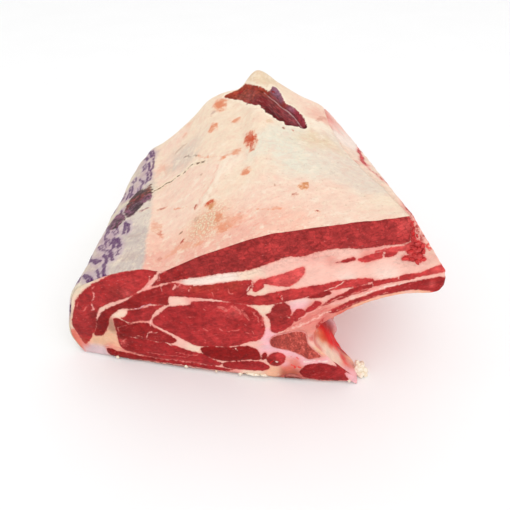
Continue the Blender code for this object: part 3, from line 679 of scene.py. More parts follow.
class Finish:
    def __init__(self, name, look):
        self.look = look
        self.material = bpy.data.materials.new(name)
        self.material.use_nodes = True
        self.tree = self.material.node_tree
        self.shader = self.tree.nodes["Principled BSDF"]
        self.shader.inputs["Specular IOR Level"].default_value = look["gloss"]
        where = self.node("ShaderNodeTexCoord", output="Object")
        self.mm = self.vector("MULTIPLY", where, (1000, 1000, 1000))

    def node(self, kind, settings=None, sockets=None, output=0):
        node = self.tree.nodes.new(kind)
        for key, value in (settings or {}).items():
            setattr(node, key, value)
        for key, value in (sockets or {}).items():
            if isinstance(value, Wire):
                self.tree.links.new(value.socket, node.inputs[key])
            elif isinstance(value, tuple) and len(node.inputs[key].default_value) == 4 and len(value) == 3:
                node.inputs[key].default_value = (*value, 1)
            else:
                node.inputs[key].default_value = value
        return Wire(self.tree, node.outputs[output])

    def vector(self, operation, first, second):
        return self.node("ShaderNodeVectorMath", {"operation": operation}, {0: first, 1: second})

    def lightness(self, colour):
        # how light a colour is, as a number
        return self.node("ShaderNodeRGBToBW", None, {0: colour})

    def number(self, name):
        return self.node("ShaderNodeAttribute", {"attribute_name": name}, output="Fac")

    def colour(self, name):
        return self.node("ShaderNodeAttribute", {"attribute_name": name}, output="Color")

    def noiseAt(self, place, detail=5.0, rough=0.72):
        return self.node("ShaderNodeTexNoise", None,
                         {"Vector": place, "Scale": 1.0, "Detail": detail, "Roughness": rough})

    def cloud(self, size, detail=2.0, rough=0.55, stretch=(1, 1, 1)):
        return self.noiseAt(self.vector("MULTIPLY", self.mm, tuple(s / size for s in stretch)), detail, rough)

    def cells(self, size, stretch=(1, 1, 1)):
        place = self.vector("MULTIPLY", self.mm, tuple(s / size for s in stretch))
        return self.node("ShaderNodeTexVoronoi", None, {"Vector": place, "Scale": 1.0}, output="Distance")

    def lying(self, turn, size):  # places for fibres that lie along one direction
        return self.node("ShaderNodeMapping", {"vector_type": "TEXTURE"},
                         {"Vector": self.mm, "Rotation": turn, "Scale": size})

    def ragged(self, name, amount, *cloud):  # a stored distance with noise on it, for a torn edge
        return self.number(name) + (self.cloud(*cloud) - 0.5) * amount

    def ease(self, value, low, high):
        return self.node("ShaderNodeMapRange", {"interpolation_type": "SMOOTHSTEP"},
                         {0: value, 1: low, 2: high})

    def blend(self, mask, first, second, mode="MIX"):
        return self.node("ShaderNodeMix", {"data_type": "RGBA", "blend_type": mode},
                         {0: mask, 6: first, 7: second}, output=2)

    def cover(self, colour, *layers):
        # lays tones over a colour one after the other, each where its mask is high
        for mask, tone in layers:
            colour = self.blend(mask, colour, tone)
        return colour

    def shadeBy(self, colour, amount):
        # a colour made lighter or darker by a number
        grey = self.node("ShaderNodeCombineColor", None, {0: amount, 1: amount, 2: amount})
        return self.blend(1.0, colour, grey, "MULTIPLY")

    def finish(self, colour, roughness, height=None):
        links, shader = self.tree.links, self.shader
        links.new(colour.socket, shader.inputs["Base Color"])
        if isinstance(roughness, Wire):
            links.new(roughness.socket, shader.inputs["Roughness"])
        else:
            shader.inputs["Roughness"].default_value = roughness
        if height is not None:
            bump = self.node("ShaderNodeBump", None, {"Strength": self.look["bump"], "Height": height,
                                                      "Distance": self.look["bumpDepth"]})
            links.new(bump.socket, shader.inputs["Normal"])
        return self.material


def leanFinish():
    look = leanSettings
    f = Finish("rawLean", look)
    lean, grain, thread = f.number("lean"), f.number("grain"), f.number("thread")
    wide, mottle, fine = f.cloud(14, 2), f.cloud(3.0, 4, 0.65), f.cloud(1.1, 3, 0.65)
    # fibres run up to the right, bent a little along the outline of their muscle
    bend = f.node("ShaderNodeCombineXYZ", None, {0: mottle * 0.6, 2: lean * 0.16 + mottle * 1.4})
    flow = f.noiseAt(f.vector("ADD", f.lying(look["fibreTurn"], look["fibreSize"]), bend))
    band, blotch, crisp = f.ease(flow, 0.36, 0.64), f.ease(mottle, 0.36, 0.64), f.ease(fine, 0.34, 0.66)
    meat = f.ease(lean + (f.cloud(2.2, 5, 0.72) - 0.5) * 3.0, -0.6, 0.3)
    patch = f.ease(f.cloud(6.5, 3, 0.6), 0.38, 0.62)
    light = 0.44 + wide * 0.3 + patch * 0.3 + band * 0.16 + blotch * 0.24 + crisp * 0.06
    muscle = f.shadeBy(f.colour("shade"), light)
    muscle = f.blend(f.ease(flow, 0.46, 0.34) * 0.3, muscle, look["darkFibre"])
    # bundles of cut fibres, each its own tone, with painted shade in the gaps between them, on some of their
    # sides
    shake = f.node("ShaderNodeCombineXYZ", None, {0: mottle * 1.6, 1: mottle * 1.2, 2: fine * 1.5})
    bundlePlace = f.vector("ADD", f.vector("MULTIPLY", f.mm, (0.26, 0.26, 0.32)), shake)
    bundle = f.node("ShaderNodeTexVoronoi", None, {"Vector": bundlePlace, "Scale": 1.0}, output="Color")
    gap = f.node("ShaderNodeTexVoronoi", {"feature": "DISTANCE_TO_EDGE"},
                 {"Vector": bundlePlace, "Scale": 1.0})
    gapShade = f.ease(gap + (fine - 0.5) * 0.2, 0.13, 0.01) * f.ease(mottle, 0.4, 0.56) * grain
    muscle = f.shadeBy(muscle, 1 + (f.lightness(bundle) - 0.5) * grain * 0.5)
    # marbling: pale strands, which are also a painted wet highlight, and small flecks
    paleStrandsAndShine = f.ease(flow + (fine - 0.5) * 0.3, 0.57, 0.69) * (0.06 + f.number("pale") * 0.75)
    fleck = f.ease(f.cells(3.1, stretch=(0.7, 1, 1.3)) + (fine - 0.5) * 0.25, 0.17, 0.06)
    fleck = fleck * f.ease(wide, 0.4, 0.6)
    muscle = f.cover(muscle, (gapShade * 0.42, look["bundleGapShade"]), (paleStrandsAndShine.lower(0.85), meatTones["streak"]),
                     (fleck * 0.35, look["fleck"]))
    fat = f.shadeBy(f.colour("fatShade"), 0.84 + patch * 0.08 + blotch * 0.04 + band * 0.1)
    plain = f.ease(f.lightness(f.colour("fatShade")), 0.2, 0.36)  # blood stays pure
    torn = f.ease(f.cloud(3.0, 3, 0.65), 0.36, 0.54)
    strand = (1 - f.ease(thread + (f.cloud(1.3, 3, 0.65) - 0.5) * 1.3, -0.3, 0.35)) * torn
    colour = f.cover(
        fat,
        (f.ease(flow, 0.55, 0.7) * plain * 0.4, look["fatFibre"]),
        (f.ease(flow, 0.45, 0.32) * plain * 0.35, look["fatSheen"]),
        (f.ease(lean + (mottle - 0.5) * 2.5, -1.8, -0.2) * plain * 0.45, look["bleed"]),
        (meat, muscle),
        (strand * (0.5 + mottle * 0.5), f.colour("threadShade")))
    height = mottle * 0.7 + fine * 0.25 + flow * 0.45 - gapShade * 0.7 + meat * 0.15
    return f.finish(colour, look["roughness"] + mottle * 0.2, height)


# the strip between the fat cap and the sawn corner, by tone: x, y, reach
stripPlaces = {
    "cream": [(210, 120, 14), (214, 100, 14), (225, 80, 14), (235, 40, 14), (208, 140, 8)],
    "pink": [(240, 10, 12), (197, 178, 7), (200, 205, 10)],
    "white": [(202, 160, 7), (206, 150, 6), (210, 172, 10), (212, 195, 10)],
    "salmon": [(186, 198, 10), (180, 205, 8)], "flesh": [(187, 170, 5), (214, 112, 4)],
    "rose": [(190, 185, 4)], "blood": [(223, 112, 3)],
}
# what the first hollow by the backbone shows, by tone: y, z, reach; its darkest red is partly painted shade
hollowPlaces = {
    "salmon": [(-3, 46, 4), (-2, 38, 3), (15, 14, 2.5), (8, 9, 3), (1, 14, 3)],
    "coral": [(3, 43, 3), (4, 10, 2.5)], "orange": [(7, 41, 3), (11, 40, 3), (11, 22, 2), (7.6, 26.5, 2.2)],
    "cream": [(1, 37, 2.4), (2, 31, 3.5), (4, 26, 3), (1, 23, 4), (3, 18, 4)],
    "apricot": [(4, 36, 2.5), (5, 30.5, 2.2), (13, 8, 3)],
    "amber": [(7.5, 36.5, 3), (11, 37, 3), (8, 33, 2.5)],
    "blood": [(15, 38, 3.5), (12, 33, 3.5), (17, 31, 4), (10.5, 29, 3.2), (14, 26, 4.5), (15, 20.5, 4),
      (30, 9, 6), (38, 9, 5), (10.5, 14, 2), (7, 15, 1.6), (4.4, 13, 1.8)],
    "darkBlood": [(20, 36, 4.5), (26, 30, 5), (19, 13, 3), (45, 8, 3.5), (49, 12, 5)], "rose": [(46, 3, 3)],
    "lilac": [(51, 4, 3), (56, 6, 4), (-2, 12, 3), (2, 6, 4)], "pink": [(7, 22, 3), (10, 18, 3), (8, 4, 4)],
}
# the further hollows, which repeat with the vertebrae, by tone: y, z, reach in y, reach in z
gutterPlaces = {
    "salmon": [(-2, 45, 4, 4), (11, 4, 7, 4)], "apricot": [(-2, 33, 4, 6), (14, 12, 4, 4)],
    "orange": [(3, 37, 4, 5)], "amber": [(7, 34, 3.5, 4), (8, 44, 5, 5), (47, 12, 4, 4)],
    "blood": [(15, 34, 7, 7), (23, 28, 6, 8), (11, 10.5, 3, 1.4), (19, 12, 3, 4), (34, 14, 9, 4)],
    "darkBlood": [(14, 46, 8, 5), (27, 42, 6, 8)], "cream": [(1, 27, 5, 5), (8, 19, 5, 5)],
    "coral": [(17, 18, 4, 5), (22, 5, 6, 5)], "pink": [(52, 5, 6, 4), (48, 44, 8, 6), (36, 30, 3, 10)],
    "lilac": [(-4, 20, 2, 7)], "lavender": [(-3, 9, 4, 4)], "rose": [(42, 30, 8, 8)],
}


def sidePaint(x, y, z, behind, side, front):
    # turns the cut's pattern, carried along the length, into what the outer faces show
    count = len(y)
    at = np.c_[y, z, np.zeros(count)]
    wide, small = bumps(at, 16.0, 1, 3.0), bumps(at, 5.0, 2, 4.0)
    lean, shade, fat = front["lean"], front["shade"], front["fatShade"]
    rim = fade(behind + 1.5 * wide, 0.8, 3.5)

    inner = side == 3
    gap = 1 - atRib(y + 2.5 * wide)
    arm = fade(z, 42, 52)
    skinLean = np.where(arm > 0.5, -1.9 + 3.2 * gap + 2.4 * wide + 1.2 * small,
                        -3.0 + 2.0 * wide + 1.6 * small)
    lean[inner] = mix(lean, skinLean, rim)[inner]
    armFat = mix(toneOf("pink"), toneOf("lilac"), np.clip(0.5 + wide, 0, 1)[:, None])
    armFat = mix(armFat, toneOf("cream"), (0.55 * atRib(y))[:, None])
    total = np.full(count, 0.03)
    gutter = np.tile(toneOf("rose") * 0.03, (count, 1))
    for tone, spots in gutterPlaces.items():
        strength = 0.35 if tone in ("blood", "darkBlood", "amber") else 1.0
        for placeY, placeZ, reachY, reachZ in spots:
            for turn in range(1, roast["ribs"]):
                far = ((y - placeY - turn * roast["ribPitch"] + 3 * wide) / reachY) ** 2
                weight = strength * np.exp(-far - ((z - placeZ + 2 * small) / reachZ) ** 2)
                total += weight
                gutter += weight[:, None] * toneOf(tone)
    for tone, spots in hollowPlaces.items():
        strength = {"blood": 2.6, "darkBlood": 2.6, "amber": 2.2}.get(tone, 1.6)
        for placeY, placeZ, reach in spots:
            far = (y - placeY + 1.6 * small) ** 2 + (z - placeZ + 1.2 * wide) ** 2
            weight = strength * np.exp(-far / reach ** 2)
            total += weight
            gutter += weight[:, None] * toneOf(tone)
    gutter /= total[:, None]
    skin = mix(gutter, armFat, (arm * fade(z + 0.4 * y, 58, 68))[:, None])
    near = fade(behind, 0.2, 1.4) * (1 - arm)
    fat[inner] = mix(fat, skin, np.maximum(rim, near)[:, None])[inner]
    shade[inner] = mix(shade, toneOf("bright"), rim[:, None] * 0.7)[inner]

    strip = side == 1
    plan = np.c_[x, y]
    # a red seam runs beside the sawn corner, strongest half way back
    seamX = np.interp(y, [-10, 55, 105, 120, 165, 214], [244, 239, 223.5, 220.5, 219, 219]) + 1.2 * wide
    strong = np.interp(y, [-10, 50, 100, 120, 165, 185, 214], [0.3, 0.3, 0.1, 1.2, 1.0, -0.6, -1.5])
    stripLean = strong + 0.6 * small - np.abs(x - seamX) * 0.7
    lean[strip] = stripLean[strip]
    fat[strip] = blendTones(plan + np.c_[wide, small] * 3, stripPlaces, fatTones)[strip]
    shade[strip] = toneOf("bright")

    base = side == 4
    lean[base] = (lean - 1.2 + 1.6 * wide + 0.8 * small)[base]
    fat[base] = mix(fat, toneOf("cream"), np.clip(0.35 + wide, 0, 1)[:, None])[base]
    front["thread"] = np.where(side == 2, front["thread"], 4.0)
    return front


def ribEnd(number):
    # the middle of a rib's sawn end: share of the length, share of the way down the saw cut, half sizes
    share = (number + 0.5) * roast["ribPitch"] / roast["length"]
    path = smoothLine(between(ribFront, ribBack, share), 60)
    corner, tip = between(sawFront, sawBack, share)
    side = (tip - corner)[0] * (path[:, 1] - corner[1]) - (tip - corner)[1] * (path[:, 0] - corner[0])
    k = np.nonzero(np.diff(np.sign(side)))[0][-1]
    spot = mix(path[k], path[k + 1], side[k] / (side[k] - side[k + 1]))
    way = (path[k + 1] - path[k]) / np.linalg.norm(path[k + 1] - path[k])
    across = np.array([-way[1], way[0]])
    slope = (tip - corner) / np.linalg.norm(tip - corner)
    down = np.dot(spot - corner, slope) / np.linalg.norm(tip - corner)
    return {"share": share, "spot": spot, "down": down, "slope": slope, "way": way, "across": across,
            "halfY": roast["ribWidth"][1] / 2,
            "halfDown": roast["ribDepth"][1] / 2 / abs(np.dot(across, slope)),
            "path": path[:k + 1]}


ribEnds = [ribEnd(number) for number in range(roast["ribs"])]


def cutRelief(points, lean, side):
    # how far the cut stands out of its bowed plane at each place: muscles swell, seams sink
    at = np.c_[points[:, 0], np.full(len(points), 40.0 * side), points[:, 1]]
    swell = leanSettings["dome"] * fade(lean, -0.4, 3.0) - 0.15 * fade(lean, 0.6, -0.2)
    return swell + 0.35 * bumps(at, 11.0, 1, 1.0) + 0.16 * bumps(at, 2.6, 2, 2.0)


def facePoints(loop, spineLoop):
    outward = leftNormals(spineLoop, True)
    spots = [spineLoop, spineLoop - outward * 0.55, spineLoop + outward]
    for *_, outline in muscles.values():
        line = loopOf(outline, leanSettings["outline"] * coarse)
        aside = leftNormals(line, True) * leanSettings["aside"]
        spots += [line, line + aside, line - aside]
    spots += threadPaths
    spots.append(lattice((-20, 0), (280, 165), leanSettings["lattice"] * coarse))
    return spacedPoints(np.vstack(spots), leanSettings["least"] * coarse, loop, 0.5)


def spineLoopAt(share, grow):
    section = between(spineFront, spineBack, share)
    loop = smoothLine(section, 61, closed=True)[:-1]
    front = smoothLine(vertebraFront, 61, closed=True)[:-1]
    loop = mix(front, loop, fade(share, 0, 0.06))
    middle = section.mean(0)
    swell = 1 - 0.07 * atRib(share * roast["length"] + roast["ribPitch"] / 2)
    loop = middle + (loop - middle) * swell
    return loop + leftNormals(loop, True) * grow


# the lower edge of the front cut hangs a little clear of the ground: x and height
hangs = [(4, 0), (14, 0.6), (30, 1.6), (36, 3), (50, 3.4), (75, 5), (92, 4.6), (110, 3.4), (125, 3),
         (146, 3.6), (163, 2.6), (171, 4.5), (177, 7.6), (182, 6.8), (188, 3.4), (203, 2.4), (217, 3.4),
         (224, 3), (229, 0)]


def frontRise(x):
    flat = np.asarray(x, float).ravel()
    ragged = 0.7 * bumps(np.c_[flat, flat * 0, flat * 0], 3.0, 2, 10.0)
    height = np.interp(flat, *zip(*hangs))
    return np.maximum(height + ragged * np.clip(height, 0, 1), 0).reshape(np.shape(x))


def buildLean():
    shares, insets = stationList(int(leanSettings["stations"] / coarse), roast["rimRound"])
    sections, normals, rings = [], [], []
    for share, inset in zip(shares, insets):
        section, side = leanSection(share)
        outward = leftNormals(section, closed=True)
        section = section - outward * (inset * np.where(side == 0, 0.0, 1.0))[:, None]
        section[:, 1] = np.maximum(section[:, 1], 0)
        sections.append(section)
        normals.append(outward)
        rings.append(place(section, share))
    rows, columns = len(rings), len(side)
    rings, normals = np.array(rings), np.array(normals)
    sides = np.tile(side, (rows, 1))
    y = rings[:, :, 1]

    # the ends of the ribs stand in shallow pockets of the saw cut
    sawColumns = np.nonzero(side == 2)[0]
    pocket = np.zeros((rows, columns))
    for end in ribEnds:
        for i in range(rows):
            corner, tip = between(sawFront, sawBack, shares[i])
            reach = np.linalg.norm(tip - corner)
            for j in sawColumns:
                u = (y[i, j] - end["share"] * roast["length"]) / (end["halfY"] + 0.2)
                down = np.dot(sections[i][j] - corner, (tip - corner) / reach) - end["down"] * reach
                v = down / (end["halfDown"] + 0.2)
                r = math.hypot(u, v)
                size = min(end["halfY"], end["halfDown"])
                if abs(r - 1) * size < 0.8 * coarse:
                    slide = (1 / max(r, 0.1) - 1) * np.array([v * end["halfDown"], u * end["halfY"]])
                    rings[i, j, 0] += slide[0] * end["slope"][0]
                    rings[i, j, 2] += slide[0] * end["slope"][1]
                    rings[i, j, 1] += slide[1]
                elif r < 1:
                    pocket[i, j] = leanSettings["ribPocket"]

    # each outer face carries the pattern of the cut along the length, with some wander
    first = sections[0] - normals[0] * 2.0
    j = np.arange(columns)
    spread = np.zeros((rows, columns, 2))
    for i in range(rows):
        at = np.c_[np.full(columns, y[i].mean() / 24), j * 0.03, np.zeros(columns)]
        wander = bumps(at, 1.0, 2, 5.0) * 5 * min(1, shares[i] * 20)
        spot = np.mod(j + wander / coarse, columns - 1)
        low = spot.astype(int)
        frac = (spot - low)[:, None]
        inward = (0.6 + 1.4 * bumps(at * 1.7, 1.0, 1, 6.0) * min(1, shares[i] * 10))[:, None]
        outward = mix(normals[0][low], normals[0][low + 1], frac)
        spread[i] = mix(first[low], first[low + 1], frac) - outward * inward
    flatSide = sides.ravel()
    paint = paintCut(spread.reshape(-1, 2))
    behind = y - y[:1]
    x, z = rings[:, :, 0].ravel(), rings[:, :, 2].ravel()
    paint = sidePaint(x, y.ravel(), z, behind.ravel(), flatSide, paint)
    hidden = flatSide == 0
    paint["lean"][hidden] = 3.0
    paint["thread"][hidden] = 4.0

    frontPaint = paintCut(sections[0] - normals[0] * 0.6)
    for i in (0, 1, rows - 2, rows - 1):
        for key in paint:
            paint[key][i * columns:(i + 1) * columns] = frontPaint[key]

    at = rings.reshape(-1, 3)
    bumpy = 0.45 * bumps(at, 7.0, 2, 7.0) + 0.2 * bumps(at, 2.8, 1, 8.0)
    bumpy += 0.3 * fade(paint["lean"], -0.5, 2.0)
    bumpy = bumpy.reshape(rows, columns) * np.isin(sides, (1, 2, 3))
    bumpy[sides == 4] = 0
    move = bumpy - pocket
    rings[:, :, 0] += normals[:, :, 0] * move
    rings[:, :, 2] = np.maximum(rings[:, :, 2] + normals[:, :, 1] * move, 0)
    lift = 0.5 + 0.5 * bumps(at, 12.0, 2, 9.0).reshape(rows, columns)
    inBase = (sides == 4) & (np.abs(rings[:, :, 2]) < 0.01)
    rings[:, :, 2] += np.where(inBase, np.clip(lift, 0, 1) * 0.5, 0)
    rise = frontRise(rings[:, :, 0]) * fade(behind, 26, 0) ** 1.5
    rings[:, :, 2] += rise * fade(rings[:, :, 2], 14, 0)

    def cutEnd(row, inside, paint, spine):
        # one cut with its relief and a shallow pocket for the backbone, and its triangles
        share, out = (0.0, -1) if row == 0 else (1.0, 1)
        spots = place(inside, share)
        deep = leanSettings["pocket"] * fade(depthIn(inside, spine), 0.1, 0.5)
        spots[:, 1] += out * (cutRelief(inside, paint["lean"], share) - deep)
        rings[row, :, 1] += out * cutRelief(sections[row], frontPaint["lean"], share)
        return spots, closeLoop(sections[row], inside)

    spine = spineLoopAt(0.0, 0.15)
    inside = facePoints(sections[0], spine)
    innerPaint = paintCut(inside)
    frontPoints, frontFaces = cutEnd(0, inside, innerPaint, spine)
    warp = np.stack([bumps(np.c_[inside, np.zeros(len(inside))], 30.0, 1, k) for k in (11.0, 12.0)], 1) * 5
    back = carryOver(inside, sections[0], sections[-1]) + warp
    spine = spineLoopAt(1.0, 0.15)
    keep = isInside(back, sections[-1])
    keep &= lineDistance(back, sections[-1], closed=True) > 0.6
    keep &= np.abs(depthIn(back, spine)) > 0.9
    extra = np.vstack([spine, spine - leftNormals(spine, True) * 0.55])
    backInside = np.vstack([back[keep], extra])
    backPaint = {}
    for key, values in innerPaint.items():
        blank = values[:1] * 0 - (6 if key == "lean" else 0)
        backPaint[key] = np.concatenate([values[keep], np.repeat(blank, len(extra), 0)])
    backPaint["fatShade"][-len(extra):] = toneOf("lavender")
    backPaint["thread"][-len(extra):] = 4
    backPoints, backFaces = cutEnd(-1, backInside, backPaint, spine)

    faces = gridFaces(rows, columns, closed=True)
    ringCount = rows * columns
    faces += [tri[::-1] for tri in endFaces(frontFaces, columns, 0, ringCount)]
    faces += endFaces(backFaces, columns, ringCount - columns, ringCount + len(inside))
    points = np.vstack([rings.reshape(-1, 3), frontPoints, backPoints])
    return points, faces, joinPaint([paint, innerPaint, backPaint])


print("pattern of the cut ready")
# the roast's own axes are moved so that the plain lean fills the box of its node
plain = np.array([place(leanSection(share)[0], share) for share in np.linspace(0, 1, 24)])
nodeLow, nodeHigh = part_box("lean")
shift = (np.array(nodeLow) + np.array(nodeHigh)) / 2 - (plain.min((0, 1)) + plain.max((0, 1))) / 2 * 0.001
shift[2] = 0.0
print("moved by", shift)

points, faces, paint = buildLean()
leanMeat = makePiece("leanMeat", points, faces, leanFinish(), paint)
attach(leanMeat, "root")
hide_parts("lean")
print("lean:", len(points), "points,", len(faces), "faces")


# The fat cap, with the bare place near its highest point. Places on it are given in plan, x and y.
capSettings = {
    "across": 200, "along": 140, "gloss": 0.04, "roughness": 0.42, "bump": 0.7, "bumpDepth": 0.0011,
    "streakTurn": (0, 0, 0.5), "streakSize": (9, 2.0, 4), "streak": (0.80, 0.30, 0.22),
    "spot": (0.85, 0.47, 0.36), "wax": (0.88, 0.76, 0.57), "pitShade": (0.58, 0.31, 0.21),
    "curd": (0.93, 0.74, 0.50), "curdGap": (0.80, 0.40, 0.25),
    "halo": (0.90, 0.42, 0.24), "lip": (0.95, 0.83, 0.66), "crackSide": (0.92, 0.76, 0.56),
}
capTones = {
    "cream": (0.86, 0.69, 0.525), "peach": (0.87, 0.63, 0.5), "blush": (0.87, 0.52, 0.4),
    "pinkish": (0.81, 0.42, 0.335), "mist": (0.77, 0.73, 0.6), "linen": (0.76, 0.64, 0.53),
    "stone": (0.68, 0.56, 0.465), "ash": (0.585, 0.495, 0.445), "pale": (0.72, 0.62, 0.53),
    "mauve": (0.5, 0.35, 0.36), "buff": (0.7, 0.61, 0.47), "straw": (0.77, 0.6, 0.41),
    "chalk": (0.9, 0.77, 0.62), "salmon": (0.84, 0.5, 0.39), "rust": (0.6, 0.09, 0.035),
    "orange": (0.74, 0.23, 0.11), "ochre": (0.66, 0.26, 0.1), "wine": (0.42, 0.05, 0.04),
    "brown": (0.21, 0.06, 0.045), "maroon": (0.17, 0.018, 0.018), "soot": (0.035, 0.014, 0.018),
    "violet": (0.095, 0.02, 0.11), "lavender": (0.52, 0.36, 0.46), "nightViolet": (0.08, 0.03, 0.05),
    "plum": (0.21, 0.075, 0.13), "dun": (0.2, 0.1, 0.06),
}
capPlaces = {  # x, y, reach
    "cream": [(85, 185, 20), (70, 205, 16), (100, 140, 22), (110, 70, 12), (230, 20, 12), (140, 70, 14),
      (130, 135, 14), (110, 115, 14), (150, 198, 10), (110, 160, 16)],
    "peach": [(45, 195, 10), (35, 155, 9), (50, 125, 8), (75, 95, 22), (95, 78, 18), (62, 70, 12),
      (80, 45, 18), (200, 12, 16), (150, 45, 18), (185, 40, 18), (168, 203, 12), (225, 5, 10)],
    "stone": [(60, 155, 13), (66, 138, 8)], "chalk": [(112, 88, 8), (184, 152, 9)],
    "blush": [(66, 30, 9), (82, 20, 14), (130, 14, 14), (165, 6, 14)],
    "pinkish": [(76, 6, 11), (104, 4, 12), (135, 4, 10)],
    "linen": [(215, 60, 16), (195, 90, 18), (212, 100, 14), (196, 140, 10)],
    "mist": [(170, 75, 18), (160, 95, 18), (160, 128, 10)], "straw": [(180, 120, 14), (125, 206, 12)],
    "salmon": [(186, 185, 10)],
}
flankPlaces = {  # the same on the flank, for its greyer fat and painted shade
    "ash": [(50, 40, 12), (60, 10, 12), (26, 128, 6), (25, 145, 6), (30, 66, 6), (32, 4, 7), (14, 178, 6)],
    "pale": [(46, 66, 10), (44, 86, 7), (44, 18, 9)],
    "mauve": [(15, 60, 9), (27, 26, 10), (20, 95, 9), (12, 132, 9), (21, 165, 8), (8, 192, 10)],
    "buff": [(0, 100, 11), (-5, 60, 11), (-8, 140, 14), (5, 26, 9), (-8, 20, 12), (14, 112, 6),
      (-4, 180, 12)],
}
# where the flank's grey fat and painted shade end and the cap's pink fat begins: y and x
flankEdge = [(-8, 69.5), (10, 66.5), (28, 61.5), (50, 56), (75, 51), (95, 45), (118, 41), (135, 32),
             (155, 27), (178, 22), (205, 17), (216, 15)]
flushPlaces = [  # x, y, reach, how thickly pink streaks lie
    (132, 18, 15, 1), (150, 10, 12, 0.7), (108, 6, 14, 0.7), (80, 10, 13, 0.6), (175, 8, 16, 0.45),
    (120, 32, 9, 0.8), (95, 78, 16, 0.25), (75, 110, 14, 0.25), (66, 42, 10, 0.4), (60, 60, 10, 0.3),
    (118, 104, 8, 0.5), (160, 38, 12, 0.3), (35, 150, 9, 0.35), (55, 200, 12, 0.3), (100, 130, 14, 0.15),
    (210, 8, 14, 0.2), (86, 60, 10, 0.35),
]
capStains = [  # x, y, half size in x and in y, slant, tone, strength
    (130, 108, 5, 12, 0.35, "rust", 1), (131, 106, 3, 6, 0.35, "wine", 0.8),
    (88, 193, 6, 11, 0.35, "orange", 0.9), (92, 199, 4, 6, 0.2, "orange", 0.7),
    (83, 185, 3, 4, 0, "plum", 0.3), (88, 160, 4, 7, 0.35, "orange", 0.8),
    (110, 155, 2.5, 4, 0.3, "orange", 0.7), (118, 103, 4, 5, 0.3, "orange", 0.6),
    (109, 102, 4, 2.5, -0.3, "orange", 0.5), (131, 73, 3.6, 4.5, 0.3, "orange", 0.8),
    (59, 79, 5, 2.2, 0, "wine", 0.6), (70, 40, 3, 6, 0.35, "rust", 0.6), (62, 52, 4, 8, 0.3, "orange", 0.35),
    (94, 54, 2, 2.8, 0.2, "wine", 0.75), (107, 48, 4.5, 3.2, -0.2, "rust", 1),
    (109, 43.5, 4.5, 3.2, -0.2, "ochre", 0.85), (124, 16, 6, 5, 0.2, "orange", 0.6),
    (118, 27, 4, 6, 0.3, "orange", 0.6), (130, 20, 8, 6, 0.2, "orange", 0.3),
    (176.5, 45.5, 2.6, 4, 0, "ochre", 1), (171, 37, 1.8, 2, 0, "wine", 0.6), (156, 48, 1.5, 2, 0, "dun", 0.5),
    (187, 12.5, 1.9, 2, 0, "wine", 1), (94, 16, 1.5, 1.8, 0, "wine", 0.9), (88, 29.5, 2, 1.5, 0, "dun", 0.8),
    (90, 95, 1.5, 3, 0.3, "dun", 0.5), (96, 14, 1, 1, 0, "brown", 0.6), (107, 8, 4, 3, 0.2, "orange", 0.4),
    (78, 7, 3, 3, 0, "wine", 0.3), (92, 10, 10, 3, 0.1, "orange", 0.3), (160, 20, 4, 2, -0.3, "orange", 0.35),
    (52, 172, 6, 3, -0.8, "dun", 0.25), (52, 190, 3, 6, 0.4, "orange", 0.25),
    (55, 205, 5, 4, 0.3, "orange", 0.25), (37, 155, 5, 12, 0.3, "orange", 0.22),
    (100, 35, 4, 3, 0, "dun", 0.2), (142, 130, 3, 3.5, 0, "straw", 0.7),
    (154, 129, 1.6, 2.2, 0, "brown", 0.7), (162, 128, 1.6, 2, 0, "wine", 0.7),
    (184, 176, 3, 12, -0.2, "wine", 0.32), (52, 12, 8, 5, 0, "dun", 0.1),
    (41, 81.5, 6, 1.3, 0.4, "plum", 0.7), (47, 43, 6, 2, 0.6, "dun", 0.12),
    (45, 148, 4, 9, 0.35, "stone", 0.4),
]
# one dark scab on the flank, its outline and its tones, and a fainter smear below it
scabs = [
    [(19, 122), (24, 125), (29, 119.5), (32, 120), (34, 125), (38, 117), (41, 106), (43.5, 95), (40, 97),
     (37, 91), (34, 83), (29, 79), (24, 84), (19.5, 92), (17, 104), (17, 114)],
    [(6, 90), (12, 97), (19, 90), (25, 80), (22, 70), (17, 69), (12, 75), (8, 82)],
]
scabPlaces = {
    "soot": [(27, 117, 4.5)], "maroon": [(21, 107, 6), (29, 107, 5), (20, 98, 4)],
    "brown": [(36, 112, 5), (34, 121, 3)], "plum": [(41, 101, 5), (15, 82, 8), (25, 87, 5)],
    "nightViolet": [(28, 97, 6), (33, 88, 5)],
}
# violet grading ink lies along the flank in slanted dashes: x and y of both ends, half width
inkDashes = [
    (16, 184, 23, 162, 2.4), (22, 158, 28, 137, 2.4), (30, 69, 36, 51, 3), (27, 50, 35, 32, 3.6),
    (27, 31, 37, 13, 3.2), (30, 10, 36, -4, 3), (18, 51, 23, 42, 2.2), (8, 35, 24, 20, 3),
    (16, 11, 27, -4, 2.8), (0, 53, 9, 30, 1.9), (10, 100, 16, 86, 2.2), (12, 49, 17, 40, 1.7),
    (-4, 90, 2, 62, 1.9), (5, 21, 12, 5, 1.9), (-6, 126, 0, 110, 1.8), (2, 212, 12, 192, 2.8),
    (8, 184, 14, 168, 1.9), (14, 152, 24, 136, 1.9), (5, 152, 12, 122, 2.6), (2, 166, 8, 154, 1.6),
    (19, 67, 26, 55, 1.7), (20, 38, 26, 33, 1.8), (12, 206, 17, 190, 1.8), (10, 134, 17, 120, 1.6),
    (-3, 148, 2, 130, 1.5), (18, 136, 22, 126, 1.7), (5, 84, 12, 66, 2), (11, 64, 16, 54, 1.6),
    (-9, 100, -4, 80, 1.4), (-6, 60, 0, 42, 1.5), (38, 30, 42, 18, 1.2), (0, 30, 6, 14, 1.4),
    (-2, 8, 4, -6, 1.7),
]
capCrack = [(42, 112), (47, 115.5), (51, 119.5), (57, 118), (62, 121), (68, 118.5), (73, 122), (79, 120.5),
            (84, 116.5), (89, 113)]
